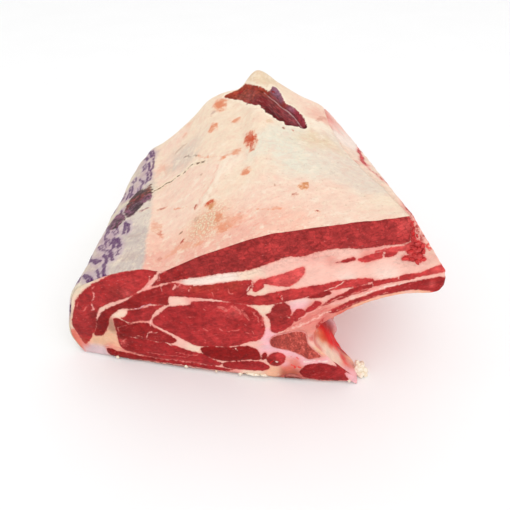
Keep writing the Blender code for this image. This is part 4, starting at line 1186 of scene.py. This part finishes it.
capVeins = [  # tone, half width, how far it stands up, line
    ("orange", 0.5, -0.15, [(70, 71), (80, 64), (88, 58), (94, 54)]),
    ("orange", 0.4, -0.1, [(78, 131), (88, 119), (98, 110), (111, 100)]),
    ("chalk", 1.5, 0.6, [(112, 94), (110, 84), (107, 72), (103, 60), (101, 50)]),
    ("chalk", 0.8, 0.4, [(84, 121), (92, 117), (100, 118)]),
    ("chalk", 0.8, 0.4, [(54, 121), (62, 124), (70, 122), (80, 124)]),
    ("salmon", 0.7, -0.25, [(104, 95), (105, 82), (102, 70), (98, 60), (97, 55)]),
    ("orange", 0.4, -0.1, [(146, 24), (153, 20), (160, 18), (164, 21)]),
    ("dun", 0.4, -0.2, [(60, 150), (70, 140), (79, 130)]),
    ("salmon", 0.5, -0.3, [(197, 158), (201, 150), (206, 141), (208, 128)]),
    ("stone", 0.3, -0.12, [(150, 86), (165, 93), (182, 96), (200, 101)]),
    ("stone", 0.3, -0.12, [(140, 96), (156, 104), (170, 107)]),
    ("stone", 0.3, -0.12, [(165, 74), (180, 80), (198, 84), (214, 92)]),
]
barePlaces = {
    "russet": [(100, 205, 8), (112, 200, 9), (128, 182, 9)], "brickRed": [(120, 186, 9), (146, 174, 7)],
    "wineRed": [(126, 168, 8), (138, 165, 9), (150, 150, 8)],
    "purpleRed": [(158, 165, 8), (163, 152, 8), (164, 160, 5), (140, 180, 3.5)],
    "darkWine": [(140, 146, 6), (168, 142, 6), (152, 138, 5)],
    "mauveRed": [(140.4, 191, 5), (146, 181, 3.5), (156, 172, 3)],
}
bareTones = {
    "russet": (0.46, 0.08, 0.045), "brickRed": (0.38, 0.055, 0.042), "wineRed": (0.25, 0.016, 0.02),
    "purpleRed": (0.33, 0.045, 0.062), "darkWine": (0.12, 0.01, 0.014), "mauveRed": (0.36, 0.17, 0.24),
}
bareLoop = loopOf(bareOutline, 1.5)


def paintCap(points):
    plan = points[:, :2]
    count = len(points)
    wander = np.stack([bumps(points, 12.0, 3, k) for k in (21.0, 22.0)], 1)
    spot = plan + wander * 2.6
    tint = blendTones(plan + wander * 6, capPlaces, capTones)
    ys, xs = zip(*flankEdge)
    sway = wander[:, 0] * np.interp(plan[:, 1], [80, 110], [0.8, 4.0])
    toEdge = np.interp(plan[:, 1], ys, xs) + sway - plan[:, 0]
    soft = np.interp(plan[:, 1], [75, 110], [0.8, 5.0])
    flank = fade(toEdge / soft, -1, 1)
    # the flank's tones: partly its own grey fat, partly painted shade of the side away from the light
    tint = mix(tint, blendTones(plan + wander * 4, flankPlaces, capTones, base="buff"), flank[:, None])
    flush = np.full(count, 0.06)
    for x, y, reach, strength in flushPlaces:
        flush = np.maximum(flush, strength * nearPlace(plan, x, y, reach))
    flush *= 1 - flank
    stain = np.full(count, -1.0)
    stainShade = np.tile(capTones["orange"], (count, 1))
    strength = np.zeros(count)
    for x, y, halfX, halfY, slant, tone, power in capStains:
        dx, dy = spot[:, 0] - x, spot[:, 1] - y
        dx = dx + dy * slant
        mine = 1 - np.hypot(dx / halfX, dy / halfY) / 1.3
        better = (mine > -0.6) & (mine * power > stain * np.maximum(strength, 0.01))
        stain[better], strength[better] = mine[better], power
        stainShade[better] = capTones[tone]
    high = points[:, 2] > 12
    scab = np.full(count, -9.0)
    for outline in scabs:
        scab[high] = np.maximum(scab[high], depthIn(plan[high], loopOf(outline, 2.0), 9.0))
    ink = np.full(count, -9.0)
    for number, (x0, y0, x1, y1, half) in enumerate(inkDashes):
        for side in (-1, 1):  # each dash is two strokes side by side
            aside, slid = side * half * 0.72, 3.0 * math.sin(5.0 * number + 2.0 * side)
            path = lineOf([(x0 + aside, y0 + slid), ((x0 + x1) / 2 + aside + 0.6, (y0 + y1) / 2 + slid * 0.5),
                           (x1 + aside, y1 + slid * 0.3)], 1.5)
            near = closeTo(plan, path, 6.0) & high
            if near.any():
                ink[near] = np.maximum(ink[near], half * 0.46 - lineDistance(plan[near], path))
    crack = lineDistance(plan, lineOf(capCrack, 1.0))
    vein = np.full(count, 5.0)
    veinShade = np.tile(capTones["orange"], (count, 1))
    rise = -0.55 * fade(crack, 1.6, 0.2) + 0.25 * fade(scab, -1, 2)
    for tone, half, up, line in capVeins:
        far = lineDistance(spot, lineOf(line, 1.0))
        mine = far - half < vein
        veinShade[mine] = capTones[tone]
        vein = np.minimum(vein, far - half)
        rise += up * fade(far, 2.2, 0.3)
    rise += 0.6 * fade(stain, 0, 0.6) * strength
    # a knob and a dip at the top
    rise += 2.4 * nearPlace(plan, 122, 207, 6) - 1.4 * nearPlace(plan, 103, 215, 6)
    curd = 1.3 * np.exp(-((plan[:, 0] - 109) / 14) ** 2 - ((plan[:, 1] - 27) / 17) ** 2)
    curd = np.maximum(curd, 0.5 * nearPlace(plan, 46, 114, 7)) * (1 - flank)
    return {"tint": tint, "flank": flank, "flush": flush, "stain": stain, "stainShade": stainShade,
            "stainPower": strength, "scab": scab,
            "scabShade": blendTones(plan, scabPlaces, capTones, base="maroon"),
            "ink": ink, "crack": crack, "vein": vein, "veinShade": veinShade, "curd": curd,
            "bareShade": blendTones(plan, barePlaces, bareTones, 0.01, "wineRed")}, rise


def capFinish():
    look = capSettings
    f = Finish("beefFat", look)
    wide, mid, fine = f.cloud(20, 3, 0.6), f.cloud(5, 4, 0.65), f.cloud(1.3, 3, 0.7)
    flank, flush, curd = f.number("flank"), f.number("flush"), f.number("curd")
    dapple = f.cloud(8, 5, 0.7)
    colour = f.shadeBy(f.colour("tint"), 0.80 + wide * 0.14 + mid * 0.16 + fine * 0.1)
    # small pits, dented by the bump and darkened with painted shade
    shadedPits = f.ease(f.cloud(1.7, 3, 0.7), 0.62, 0.7)
    streaks = f.noiseAt(f.lying(look["streakTurn"], look["streakSize"]), rough=0.7)
    drawn = f.cloud(2.6, 4, 0.7, stretch=(1.3, 0.45, 0.45))
    grains = f.ease(f.cells(1.9), 0.3, 0.62)
    vein = (1 - f.ease(f.number("vein") + (fine - 0.5) * 1.6, -0.2, 0.6)) * f.ease(f.cloud(5, 2), 0.3, 0.55)
    colour = f.cover(
        colour,
        (f.ease(dapple, 0.5, 0.62) * 0.2 * (1 - flank), capTones["pinkish"]),
        (f.ease(dapple, 0.46, 0.36) * 0.6, capTones["chalk"]),
        (f.ease(f.cloud(6.5, 5, 0.75), 0.52, 0.57) * 0.12 * (1 - flank), look["spot"]),
        (f.ease(f.cloud(5.5, 5, 0.75), 0.47, 0.43) * 0.28, look["wax"]),
        (shadedPits * 0.45, look["pitShade"]),
        (f.ease(streaks, 0.5, 0.64) * flush * 0.75, look["streak"]),  # pink streaks run with the muscle below
        (f.ease(drawn, 0.5, 0.66) * flank * 0.55, capTones["mauve"]),  # smears and wrinkles down the flank
        (f.ease(drawn, 0.46, 0.34) * flank * 0.6, capTones["pale"]),
        (f.ease(f.cloud(2.0, 3, 0.7), 0.68, 0.76) * 0.4, capTones["orange"]),
        (curd.lower(1.0) * 0.75, f.blend(grains, look["curd"], look["curdGap"])),
        (vein * 0.75, f.colour("veinShade")))
    # stains have a ragged core in a soft halo
    ragged = (f.cloud(4.0, 5, 0.8) - 0.5) * 3.0
    halo = f.ease(f.number("stain") + ragged * 0.6, -0.5, 0.6) * f.number("stainPower")
    stain = f.ease(f.number("stain") + ragged, 0.05, 0.65) * f.number("stainPower")
    ink = f.ease(f.ragged("ink", 6.0, 4.0, 5, 0.8), -0.5, 0.5)
    inkWash = f.ease(f.ragged("ink", 7, 4.6, 4, 0.75), -3.6, -0.5) * flank
    crumbs = f.cloud(5.0, 4, 0.8)
    scab = f.ease(f.ragged("scab", 14.0, 6.0, 5, 0.8), -1.4, 0.4)
    scabTone = f.cover(f.shadeBy(f.colour("scabShade"), 0.25 + f.ease(crumbs, 0.42, 0.6) * 1.2),
                       (f.ease(crumbs, 0.5, 0.42) * 0.85, capTones["soot"]),
                       (f.ease(f.cloud(3.6, 4, 0.75), 0.57, 0.64) * 0.4, capTones["mauve"]))
    # the muscle's own colour up to the edge of the bare place; the crack's split in painted shade, its sides
    # pale
    window = f.ragged("window", 3.0, 2.2, 5, 0.75)
    muscle = f.shadeBy(f.colour("bareShade"), 0.42 + f.ease(mid, 0.4, 0.6) * 0.4 + fine * 0.6)
    crack = f.ragged("crack", 3.0, 1.8, 4, 0.7)
    splitShade = f.ease(crack, 1.2, 0.5) * f.ease(f.cloud(4.5, 2), 0.4, 0.5)
    colour = f.cover(
        colour,
        (halo * 0.5, look["halo"]),
        (stain * (0.85 + fine * 0.3), f.shadeBy(f.colour("stainShade"), 0.8 + mid * 0.3)),
        (inkWash * 0.5, capTones["lavender"]),
        (ink * (0.7 + f.ease(fine, 0.4, 0.6) * 0.3), capTones["violet"]),
        (scab * 0.96, scabTone),
        (f.ease(window, -5.0, -3.0) * 0.6, look["lip"]),
        (f.ease(window, -1.9, -1.4), muscle),
        (f.ease(crack, 3.4, 1.6) * 0.6, look["crackSide"]),
        (splitShade * 0.95, capTones["dun"]))
    height = mid * 1.1 + fine * 0.6 + drawn * flank * 1.2 - splitShade * 0.9 - grains * curd * 0.9 - shadedPits * 0.3
    return f.finish(colour, look["roughness"] + fine * 0.16, height)


def windowDepth(plan, points):
    # above 0 inside the bare place, with a ragged edge on its lower side
    ragged = bumps(points, 4.5, 3, 31.0)
    lower = fade(plan[:, 1] - (232 - 0.62 * plan[:, 0]), 26, 0)
    return depthIn(plan, bareLoop, 8.0) + ragged * mix(0.7, 1.8, lower) + mix(0.5, 0.0, lower)


def buildCap():
    across, along = int(capSettings["across"] / coarse), int(capSettings["along"] / coarse)
    shares, _ = stationList(along, 0)
    outer, inner, out = [], [], []
    for share in shares:
        line, depth, _ = outerLine(share, lambda stop, total: np.linspace(roast["fatLift"], stop, across))
        normal = leftNormals(line)
        under = line - normal * depth[:, None]
        outer.append(place(line, share))
        inner.append(place(under, share))
        out.append(np.c_[normal[:, 0], np.zeros(across), normal[:, 1]])
    outer, inner, out = (np.array(a) for a in (outer, inner, out))
    thick = np.linalg.norm(outer - inner, axis=2)
    paint, rise = paintCap(outer.reshape(-1, 3))
    at = outer.reshape(-1, 3)
    edge = np.minimum(np.arange(across), np.arange(across)[::-1])[None, :] * 1.6 * coarse
    edge = np.minimum(edge, np.minimum(shares, 1 - shares)[:, None] * roast["length"])
    calm = fade(edge, 0, 12)
    relief = (0.5 * bumps(at, 19.0, 2, 23.0) + 0.22 * bumps(at, 6.0, 2, 24.0)).reshape(edge.shape)
    relief = relief * mix(0.3, 1.0, calm) + rise.reshape(edge.shape)
    grooves = np.sin((at[:, 0] * 0.62 + at[:, 1] * 0.78 + 5 * bumps(at, 18.0, 1, 25.0)) / 1.3)
    zone = np.exp(-((at[:, 0] - 165) / 26) ** 2 - ((at[:, 1] - 118) / 22) ** 2)
    relief += (0.16 * grooves * zone).reshape(edge.shape)
    window = windowDepth(at[:, :2], at).reshape(edge.shape)
    window[outer[:, :, 2] < 100] = -8
    paint["window"] = window.ravel().copy()
    lip = np.exp(-((window + 2.4) / 1.3) ** 2) * (0.6 + bumps(at, 3.0, 2, 32.0).reshape(edge.shape))
    sink = fade(window, -1.4, 0.9)
    outer += out * (relief * (1 - sink) + 0.5 * lip - sink * (thick + 1.4))[..., None]
    inner -= out * (sink * 2.2)[..., None]
    for k, keep in ((0, 0.25), (1, 0.8), (-1, 0.25), (-2, 0.8)):  # rounded outer edges at both cuts
        outer[k] = mix(inner[k], outer[k], keep)
    for k, beside in ((0, 1), (-1, -2)):  # rounded long edges
        middle = (outer[:, k] + inner[:, k]) / 2
        outer[:, k] = mix(middle, outer[:, k], 0.45) + (outer[:, k] - outer[:, beside]) * 0.1
        inner[:, k] = mix(middle, inner[:, k], 0.7)
    rows = len(shares)
    loop = np.concatenate([outer, inner[:, ::-1]], 1)
    faces = gridFaces(rows, across * 2, closed=True)
    top = (rows - 1) * across * 2
    for j in range(across - 1):
        quad = (j, j + 1, 2 * across - 2 - j, 2 * across - 1 - j)
        faces += [quad[::-1], tuple(top + v for v in quad)]
    for key, values in paint.items():  # the underside has the same paint, in the loop's order
        values = values.reshape(rows, across, -1)
        paint[key] = np.concatenate([values, values[:, ::-1]], 1).reshape(rows * across * 2, -1).squeeze()
    return loop.reshape(-1, 3), faces, paint


points, faces, paint = buildCap()
fatCap = makePiece("fatCap", points, faces, capFinish(), paint)
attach(fatCap, "root")
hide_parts("fat_cap")
print("fat cap:", len(points), "points,", len(faces), "faces")


# The muscle that shows in the bare place.
bareSettings = {
    "step": 1.2, "lift": 0.65, "low": (84, 126), "high": (184, 215.6), "gloss": 0.08, "roughness": 0.42,
    "bump": 0.8, "bumpDepth": 0.0012, "fibreTurn": (0, 0, -0.9), "fibreSize": (7, 1.3, 3),
    "paleFibre": (0.62, 0.22, 0.19), "film": (0.74, 0.46, 0.44), "filmHalf": 0.4,
    "filmLine": [(132, 180), (140, 174), (149, 168.5), (157, 163), (163, 155), (168, 146)],
}


def bareFinish():
    look = bareSettings
    f = Finish("bareMuscle", look)
    fibre = f.noiseAt(f.lying(look["fibreTurn"], look["fibreSize"]))
    streak = f.ease(fibre, 0.4, 0.62)
    colour = f.shadeBy(f.colour("tint"), 0.42 + streak * 0.62 + f.ease(f.cloud(5, 3), 0.38, 0.62) * 0.5)
    pale = f.ease(fibre + (f.cloud(2.2, 4, 0.7) - 0.5) * 0.6, 0.57, 0.68) * 0.5
    colour = f.blend(pale, colour, look["paleFibre"])
    film = f.ease(f.ragged("film", 3, 2.4, 3), 0.8, -0.2)  # a thin pale skin runs near one side
    colour = f.blend(film * 0.75, colour, look["film"])
    return f.finish(colour, look["roughness"], fibre + streak * 0.8)


def buildBare():
    low, high, step = bareSettings["low"], bareSettings["high"], bareSettings["step"] * coarse
    xs = np.arange(low[0], high[0], step)
    shares = np.arange(low[1], high[1], step) / roast["length"]
    rows = []
    for share in shares:
        line, depth, _ = outerLine(share, lambda stop, total: np.linspace(roast["fatLift"], stop, 400))
        under = line - leftNormals(line) * (depth + roast["gap"] - bareSettings["lift"])[:, None]
        spots = place(under, share)
        order = np.maximum.accumulate(under[:, 0])  # x never falls along the line
        rows.append(np.stack([xs] + [np.interp(xs, order, spots[:, k]) for k in (1, 2)], 1))
    grid = np.array(rows)
    flat = grid.reshape(-1, 3)
    along = flat[:, 0] * 0.8 - flat[:, 1] * 0.6
    across = flat[:, 0] * 0.6 + flat[:, 1] * 0.8
    ridge = np.array([noise.noise(Vector((a / 14, b / 1.6, 3.0))) for a, b in zip(along, across)])
    flat[:, 2] += 0.4 * ridge + 0.8 * bumps(flat, 9.0, 1, 33.0)
    depth = depthIn(flat[:, :2], bareLoop, 8.0)
    flat[:, 2] += 1.6 * fade(depth, 0, 8)
    keep = (depth > -5).reshape(grid.shape[:2])
    faces = [q for q in gridFaces(grid.shape[0], grid.shape[1], closed=False)
             if all(keep.ravel()[v] for v in q)]
    used = sorted({v for q in faces for v in q})
    number = {v: k for k, v in enumerate(used)}
    faces = [tuple(number[v] for v in q)[::-1] for q in faces]
    flat[:, 2] -= 1.2 * fade(depth, -1.5, -5)  # its edge tucks under the fat
    tint = blendTones(flat[used, :2], barePlaces, bareTones, 0.01, "wineRed")
    film = lineDistance(flat[used, :2], lineOf(bareSettings["filmLine"], 1.0)) - bareSettings["filmHalf"]
    return flat[used], faces, {"tint": tint, "film": film}


points, faces, paint = buildBare()
bareMuscle = makePiece("bareMuscle", points, faces, bareFinish(), paint)
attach(bareMuscle, "root")
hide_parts("lean")
print("bare muscle:", len(points), "points")


def lumps(places, seed):
    # small uneven lumps in one mesh: x, y, z, half sizes, turn in degrees
    ball = bmesh.new()
    bmesh.ops.create_icosphere(ball, subdivisions=3, radius=1.0)
    sphere = np.array([v.co for v in ball.verts])
    sides = [tuple(v.index for v in face.verts) for face in ball.faces]
    ball.free()
    points, faces = [], []
    for k, (x, y, z, halfX, halfY, halfZ, turn) in enumerate(places):
        swell = 1 + 0.45 * bumps(sphere, 0.9, 3, seed + k)
        flat = sphere * swell[:, None] * (halfX, halfY, halfZ)
        c, s = math.cos(math.radians(turn)), math.sin(math.radians(turn))
        tipped = np.c_[flat[:, 0] * c - flat[:, 2] * s, flat[:, 1], flat[:, 0] * s + flat[:, 2] * c]
        faces += [tuple(v + k * len(sphere) for v in side) for side in sides]
        points.append(tipped + (x, y, z))
    points = np.vstack(points)
    points[:, 2] = np.maximum(points[:, 2], 0.05)
    return points, faces


def onCut(x, z, out):
    return tuple(place(np.array([[x, z]], float), 0.0)[0] - (0, out, 0))


def plainPaint(count, tone):
    numbers = {"lean": 3.0, "grain": 0.2, "pale": 0.9, "thread": 4.0}
    tones = {"shade": tone, "fatShade": "cream", "threadShade": "rose"}
    return ({key: np.full(count, value) for key, value in numbers.items()}
            | {key: np.tile(toneOf(name), (count, 1)) for key, name in tones.items()})


looseSettings = {"gloss": 0.2, "roughness": 0.45, "bump": 0.6, "bumpDepth": 0.0008,
                 "cream": (0.86, 0.72, 0.54), "white": (0.97, 0.90, 0.76)}


def looseFinish():
    look = looseSettings
    f = Finish("looseFat", look)
    mottle = f.cloud(2.2, 4, 0.7)
    colour = f.blend(f.ease(mottle, 0.38, 0.62), look["cream"], look["white"])
    return f.finish(colour, look["roughness"], mottle)


loose = looseFinish()
tagLumps = [
    (228.6, 6.4, 5.6, 3.8, 3.2, 4, 10), (231.8, 8.6, 8.2, 2.6, 2.6, 3, -20),
    (234.2, 7.4, 4.4, 2.8, 2.6, 2.8, 0), (228.4, 8.6, 9.6, 2.2, 2.2, 2.4, 30),
    (231.6, 4.2, 2.6, 3.2, 2.6, 2.2, 0), (235.4, 4.6, 1.8, 2, 2, 1.5, 0),
]
# on the front cut: x, z and half sizes, and for the shreds their turn
bitPlaces = [(35.4, 2.6, 1.4, 1.7), (93.4, 4.4, 1.2, 1.4), (118, 3.4, 1.1, 0.7), (137.4, 3.2, 1.3, 1.3),
             (147.6, 4.2, 5.2, 0.9), (155.6, 4.4, 3, 0.8), (222.4, 4, 1.4, 1)]
shredPlaces = [
    (244.6, 125, 2.2, 1.3, 10), (248.6, 124.6, 2, 1.3, -15), (252.4, 123, 1.3, 2.2, 20),
    (255.8, 125, 1.9, 1.3, 35), (253, 128.6, 2.1, 1.5, -30), (249.6, 128, 1.7, 1.4, 0),
    (246.6, 130.6, 2.3, 1.2, 20), (251.4, 132.6, 1.9, 1.6, 60), (247.6, 134.2, 2.3, 1.3, -10),
    (253.4, 135.6, 1.4, 1.9, 0), (249.6, 137.2, 2, 1.2, 25), (254.6, 131.4, 1.2, 1.8, 15),
    (246.2, 141, 0.8, 2.2, -8), (245.2, 146.4, 0.7, 2.6, -12), (244, 151.4, 0.6, 2.2, -16),
    (248.6, 143, 0.7, 1.2, 20),
]
bits = [(*onCut(x, z, 0.4), wide, 1.1, high, 0) for x, z, wide, high in bitPlaces]
shreds = [(*onCut(x, z, 0.7), wide, 1.2, high, turn) for x, z, wide, high, turn in shredPlaces]
for name, (points, faces) in {"fatTag": lumps(tagLumps, 61.0), "fatBits": lumps(bits, 62.0)}.items():
    piece = makePiece(name, points, faces, loose)
    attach(piece, "root")
points, faces = lumps(shreds, 63.0)
shredPaint = plainPaint(len(points), "bright")
meatShreds = makePiece("meatShreds", points, faces, leanMeat.data.materials[0], shredPaint)
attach(meatShreds, "root")
print("loose scraps ready")


# The backbone and the ribs.
boneSettings = {
    "ends": 1.3, "stations": 60, "gloss": 0.14, "roughness": 0.5, "bump": 0.6, "bumpDepth": 0.0006,
    "blush": (0.74, 0.24, 0.19), "pore": (0.27, 0.026, 0.022), "spineCore": (0.47, 0.068, 0.050),
    "spineCoreLeft": (0.36, 0.045, 0.036), "spineShell": (0.80, 0.30, 0.27), "ribCore": (0.58, 0.16, 0.12),
    "ribMarrow": (0.34, 0.045, 0.04), "ribShell": (0.86, 0.62, 0.54),
}


def boneFinish():
    look = boneSettings
    f = Finish("sawnBone", look)
    rim = f.ragged("rim", 1.6, 2.2, 3)
    grit, fine = f.cells(1.1), f.cloud(1.2, 4, 0.75)
    patch = f.cloud(4.5, 5, 0.7, stretch=(1.5, 1, 0.7))
    light = 0.42 + grit * 0.12 + f.ease(fine, 0.36, 0.64) * 0.45 + f.ease(patch, 0.36, 0.64) * 0.6
    spongy = f.shadeBy(f.colour("core"), light)
    spongy = f.blend(f.ease(patch + (fine - 0.5) * 0.5, 0.54, 0.66) * 0.5, spongy, look["blush"])
    pores = f.ease(f.cloud(1.8, 4, 0.78), 0.55, 0.68) * 0.7
    spongy = f.blend(pores, spongy, look["pore"])
    shell = f.shadeBy(f.colour("shell"), 0.86 + f.cloud(5, 2) * 0.28)
    colour = f.blend(f.ease(rim, 0.25, 0.9), shell, spongy)
    return f.finish(colour, look["roughness"], grit * 0.6 + fine * 0.6)


def capEnd(loop, step):
    inset = loop - leftNormals(loop, True) * 0.9
    return spacedPoints(np.vstack([inset, lattice(loop.min(0), loop.max(0), step)]), 0.6, loop, 0.5)


def buildSpine():
    shares = np.linspace(0, 1, int(boneSettings["stations"] / coarse))
    shares = np.sort(np.r_[0.012, 0.03, shares])
    loops = [spineLoopAt(share, mix(0.45, -0.1, fade(min(share, 1 - share), 0, 0.01))) for share in shares]
    rings = np.array([place(loop, share) for loop, share in zip(loops, shares)])
    rings[0, :, 1] -= 0.25
    rings[-1, :, 1] += 0.25
    columns = rings.shape[1]
    faces = gridFaces(len(rings), columns, closed=True)
    points, rims = [rings.reshape(-1, 3)], [np.zeros(rings.shape[0] * columns)]
    for loop, share, first, sign in ((loops[0], 0.0, 0, -1), (loops[-1], 1.0, (len(rings) - 1) * columns, 1)):
        inside = capEnd(loop, boneSettings["ends"])
        start = sum(len(p) for p in points)
        tris = closeLoop(loop, inside)
        faces += [tri[::sign] for tri in endFaces(tris, columns, first, start)]
        spots = place(inside, share)
        depth = depthIn(inside, loop)
        spots[:, 1] += sign * (0.35 * fade(depth, 0, 1.5) + 0.25 * bumps(spots, 1.6, 2, 41.0))
        points.append(spots)
        rims.append(depth)
    points = np.vstack(points)
    core = np.tile(boneSettings["spineCore"], (len(points), 1))
    left = 0.8 * fade(points[:, 0], 172, 160)[:, None]
    core = mix(core, np.array(boneSettings["spineCoreLeft"]), left)
    shell = np.tile(boneSettings["spineShell"], (len(points), 1))
    return points, faces, {"rim": np.concatenate(rims), "core": core, "shell": shell}


def buildRib(number, end):
    # an oval bar along the rib's centre line, cut off flush with the saw cut
    share = end["share"]
    path = evenLine(np.vstack([end["path"], end["spot"]]), int(26 / coarse))
    normals = leftNormals(path)
    corner, tip = between(sawFront, sawBack, share)
    rings = []
    turns = np.linspace(0, 2 * np.pi, 40, endpoint=False)
    for i, (spot, normal) in enumerate(zip(path, normals)):
        along = i / (len(path) - 1)
        halfY = mix(roast["ribWidth"][0], roast["ribWidth"][1], along) / 2
        halfDepth = mix(roast["ribDepth"][0], roast["ribDepth"][1], along) / 2
        flat = spot + normal * (halfDepth * np.sin(turns))[:, None]
        if i == len(path) - 1:  # slide each point along the rib to the saw cut
            way, slope, gap = end["way"], tip - corner, corner - flat
            k = (gap[:, 0] * slope[1] - gap[:, 1] * slope[0]) / (way[0] * slope[1] - way[1] * slope[0])
            flat = flat + way * (k + 0.3)[:, None]
        ring = place(flat, share)
        y = ring[:, 1] + halfY * np.cos(turns)
        if i == len(path) - 1:  # the saw cut leans back from front to back
            for j in range(len(y)):
                hereCorner, hereTip = between(sawFront, sawBack, y[j] / roast["length"])
                down = np.linalg.norm(flat[j] - corner) / np.linalg.norm(tip - corner)
                ring[j, [0, 2]] += mix(hereCorner, hereTip, down) - mix(corner, tip, down)
        ring[:, 1] = y
        rings.append(ring)
    rings = np.array(rings)
    columns = len(turns)
    faces = gridFaces(len(rings), columns, closed=True)
    faces.append(tuple(range(columns))[::-1])
    flat = np.c_[end["halfY"] * np.cos(turns), end["halfDown"] * np.sin(turns)][::-1]
    inside = capEnd(flat, boneSettings["ends"])
    tris = closeLoop(flat, inside)
    last = rings[-1][::-1]
    spots = carryOver(inside, flat, last)
    depth = depthIn(inside, flat)
    out = np.array([tip[1] - corner[1], 0, -(tip[0] - corner[0])])
    out = -out / np.linalg.norm(out)
    start = len(rings) * columns
    base = start - columns
    spots = spots + out * (0.5 * fade(depth, 0, 1.6) + 0.25 * bumps(spots, 1.5, 2, 42.0 + number))[:, None]
    faces += [tuple(base + columns - 1 - v if v < columns else v - columns + start for v in tri)
              for tri in tris]
    points = np.vstack([rings.reshape(-1, 3), spots])
    rim = np.r_[np.zeros(start), depth]
    marrow = np.exp(-(inside[:, 0] / (end["halfY"] * 0.55)) ** 2
                    - (inside[:, 1] / (end["halfDown"] * 0.5)) ** 2)
    core = np.tile(boneSettings["ribCore"], (len(points), 1))
    core[start:] = mix(core[start:], np.array(boneSettings["ribMarrow"]), (0.8 * marrow)[:, None])
    shell = np.tile(boneSettings["ribShell"], (len(points), 1))
    return points, faces, {"rim": rim, "core": core, "shell": shell}


bone = boneFinish()
points, faces, paint = buildSpine()
spineBone = makePiece("spineBone", points, faces, bone, paint)
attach(spineBone, "root")
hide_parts("backbone")
for number, end in enumerate(ribEnds):
    points, faces, paint = buildRib(number, end)
    rib = makePiece(f"ribBone{number + 1}", points, faces, bone, paint)
    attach(rib, "root")
    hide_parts(f"rib_{number + 1}")
print("bones ready")


ground = {"size": 6, "tone": (0.94, 0.94, 0.94), "mottle": 0.03, "gloss": 0.2, "roughness": 0.7}
light = {"sky": 1.0, "key": 6.0, "keyPlace": (0.35, -0.9, 1.5), "keySize": 1.3, "keyAim": (0, 0, 0.05)}
view = {"place": (0.1851, -0.2718, 0.330), "tilt": 52.087, "turn": 7.816, "lens": 36.7058824,
        "sensor": 36.0, "nearest": 0.01}


def plainFloor():
    f = Finish("paleFloor", ground)
    tone = f.shadeBy(ground["tone"], 1 - ground["mottle"] / 2 + f.cloud(120, 2) * ground["mottle"])
    bpy.ops.mesh.primitive_plane_add(size=ground["size"])
    floor = bpy.context.object
    floor.name = "floor"
    floor.data.materials.append(f.finish(tone, ground["roughness"]))


def studio():
    scene = bpy.context.scene
    scene.view_settings.view_transform = "Standard"
    world = bpy.data.worlds.new("studio")
    world.use_nodes = True
    world.node_tree.nodes["Background"].inputs["Color"].default_value = (1, 1, 1, 1)
    world.node_tree.nodes["Background"].inputs["Strength"].default_value = light["sky"]
    scene.world = world
    lamp = bpy.data.lights.new("key", "AREA")
    lamp.energy, lamp.size = light["key"], light["keySize"]
    holder = bpy.data.objects.new("key", lamp)
    holder.location = light["keyPlace"]
    aim = Vector(light["keyAim"]) - Vector(light["keyPlace"])
    holder.rotation_euler = aim.to_track_quat("-Z", "Y").to_euler()
    scene.collection.objects.link(holder)


def viewpoint():
    lens = bpy.data.cameras.new("camera")
    lens.sensor_width, lens.lens = view["sensor"], view["lens"]
    lens.clip_start = view["nearest"]
    camera = bpy.data.objects.new("camera", lens)
    camera.location = Vector(view["place"]) + Vector(shift)
    camera.rotation_euler = (math.radians(view["tilt"]), 0, math.radians(view["turn"]))
    bpy.context.scene.collection.objects.link(camera)
    bpy.context.scene.camera = camera


plainFloor()
studio()
viewpoint()
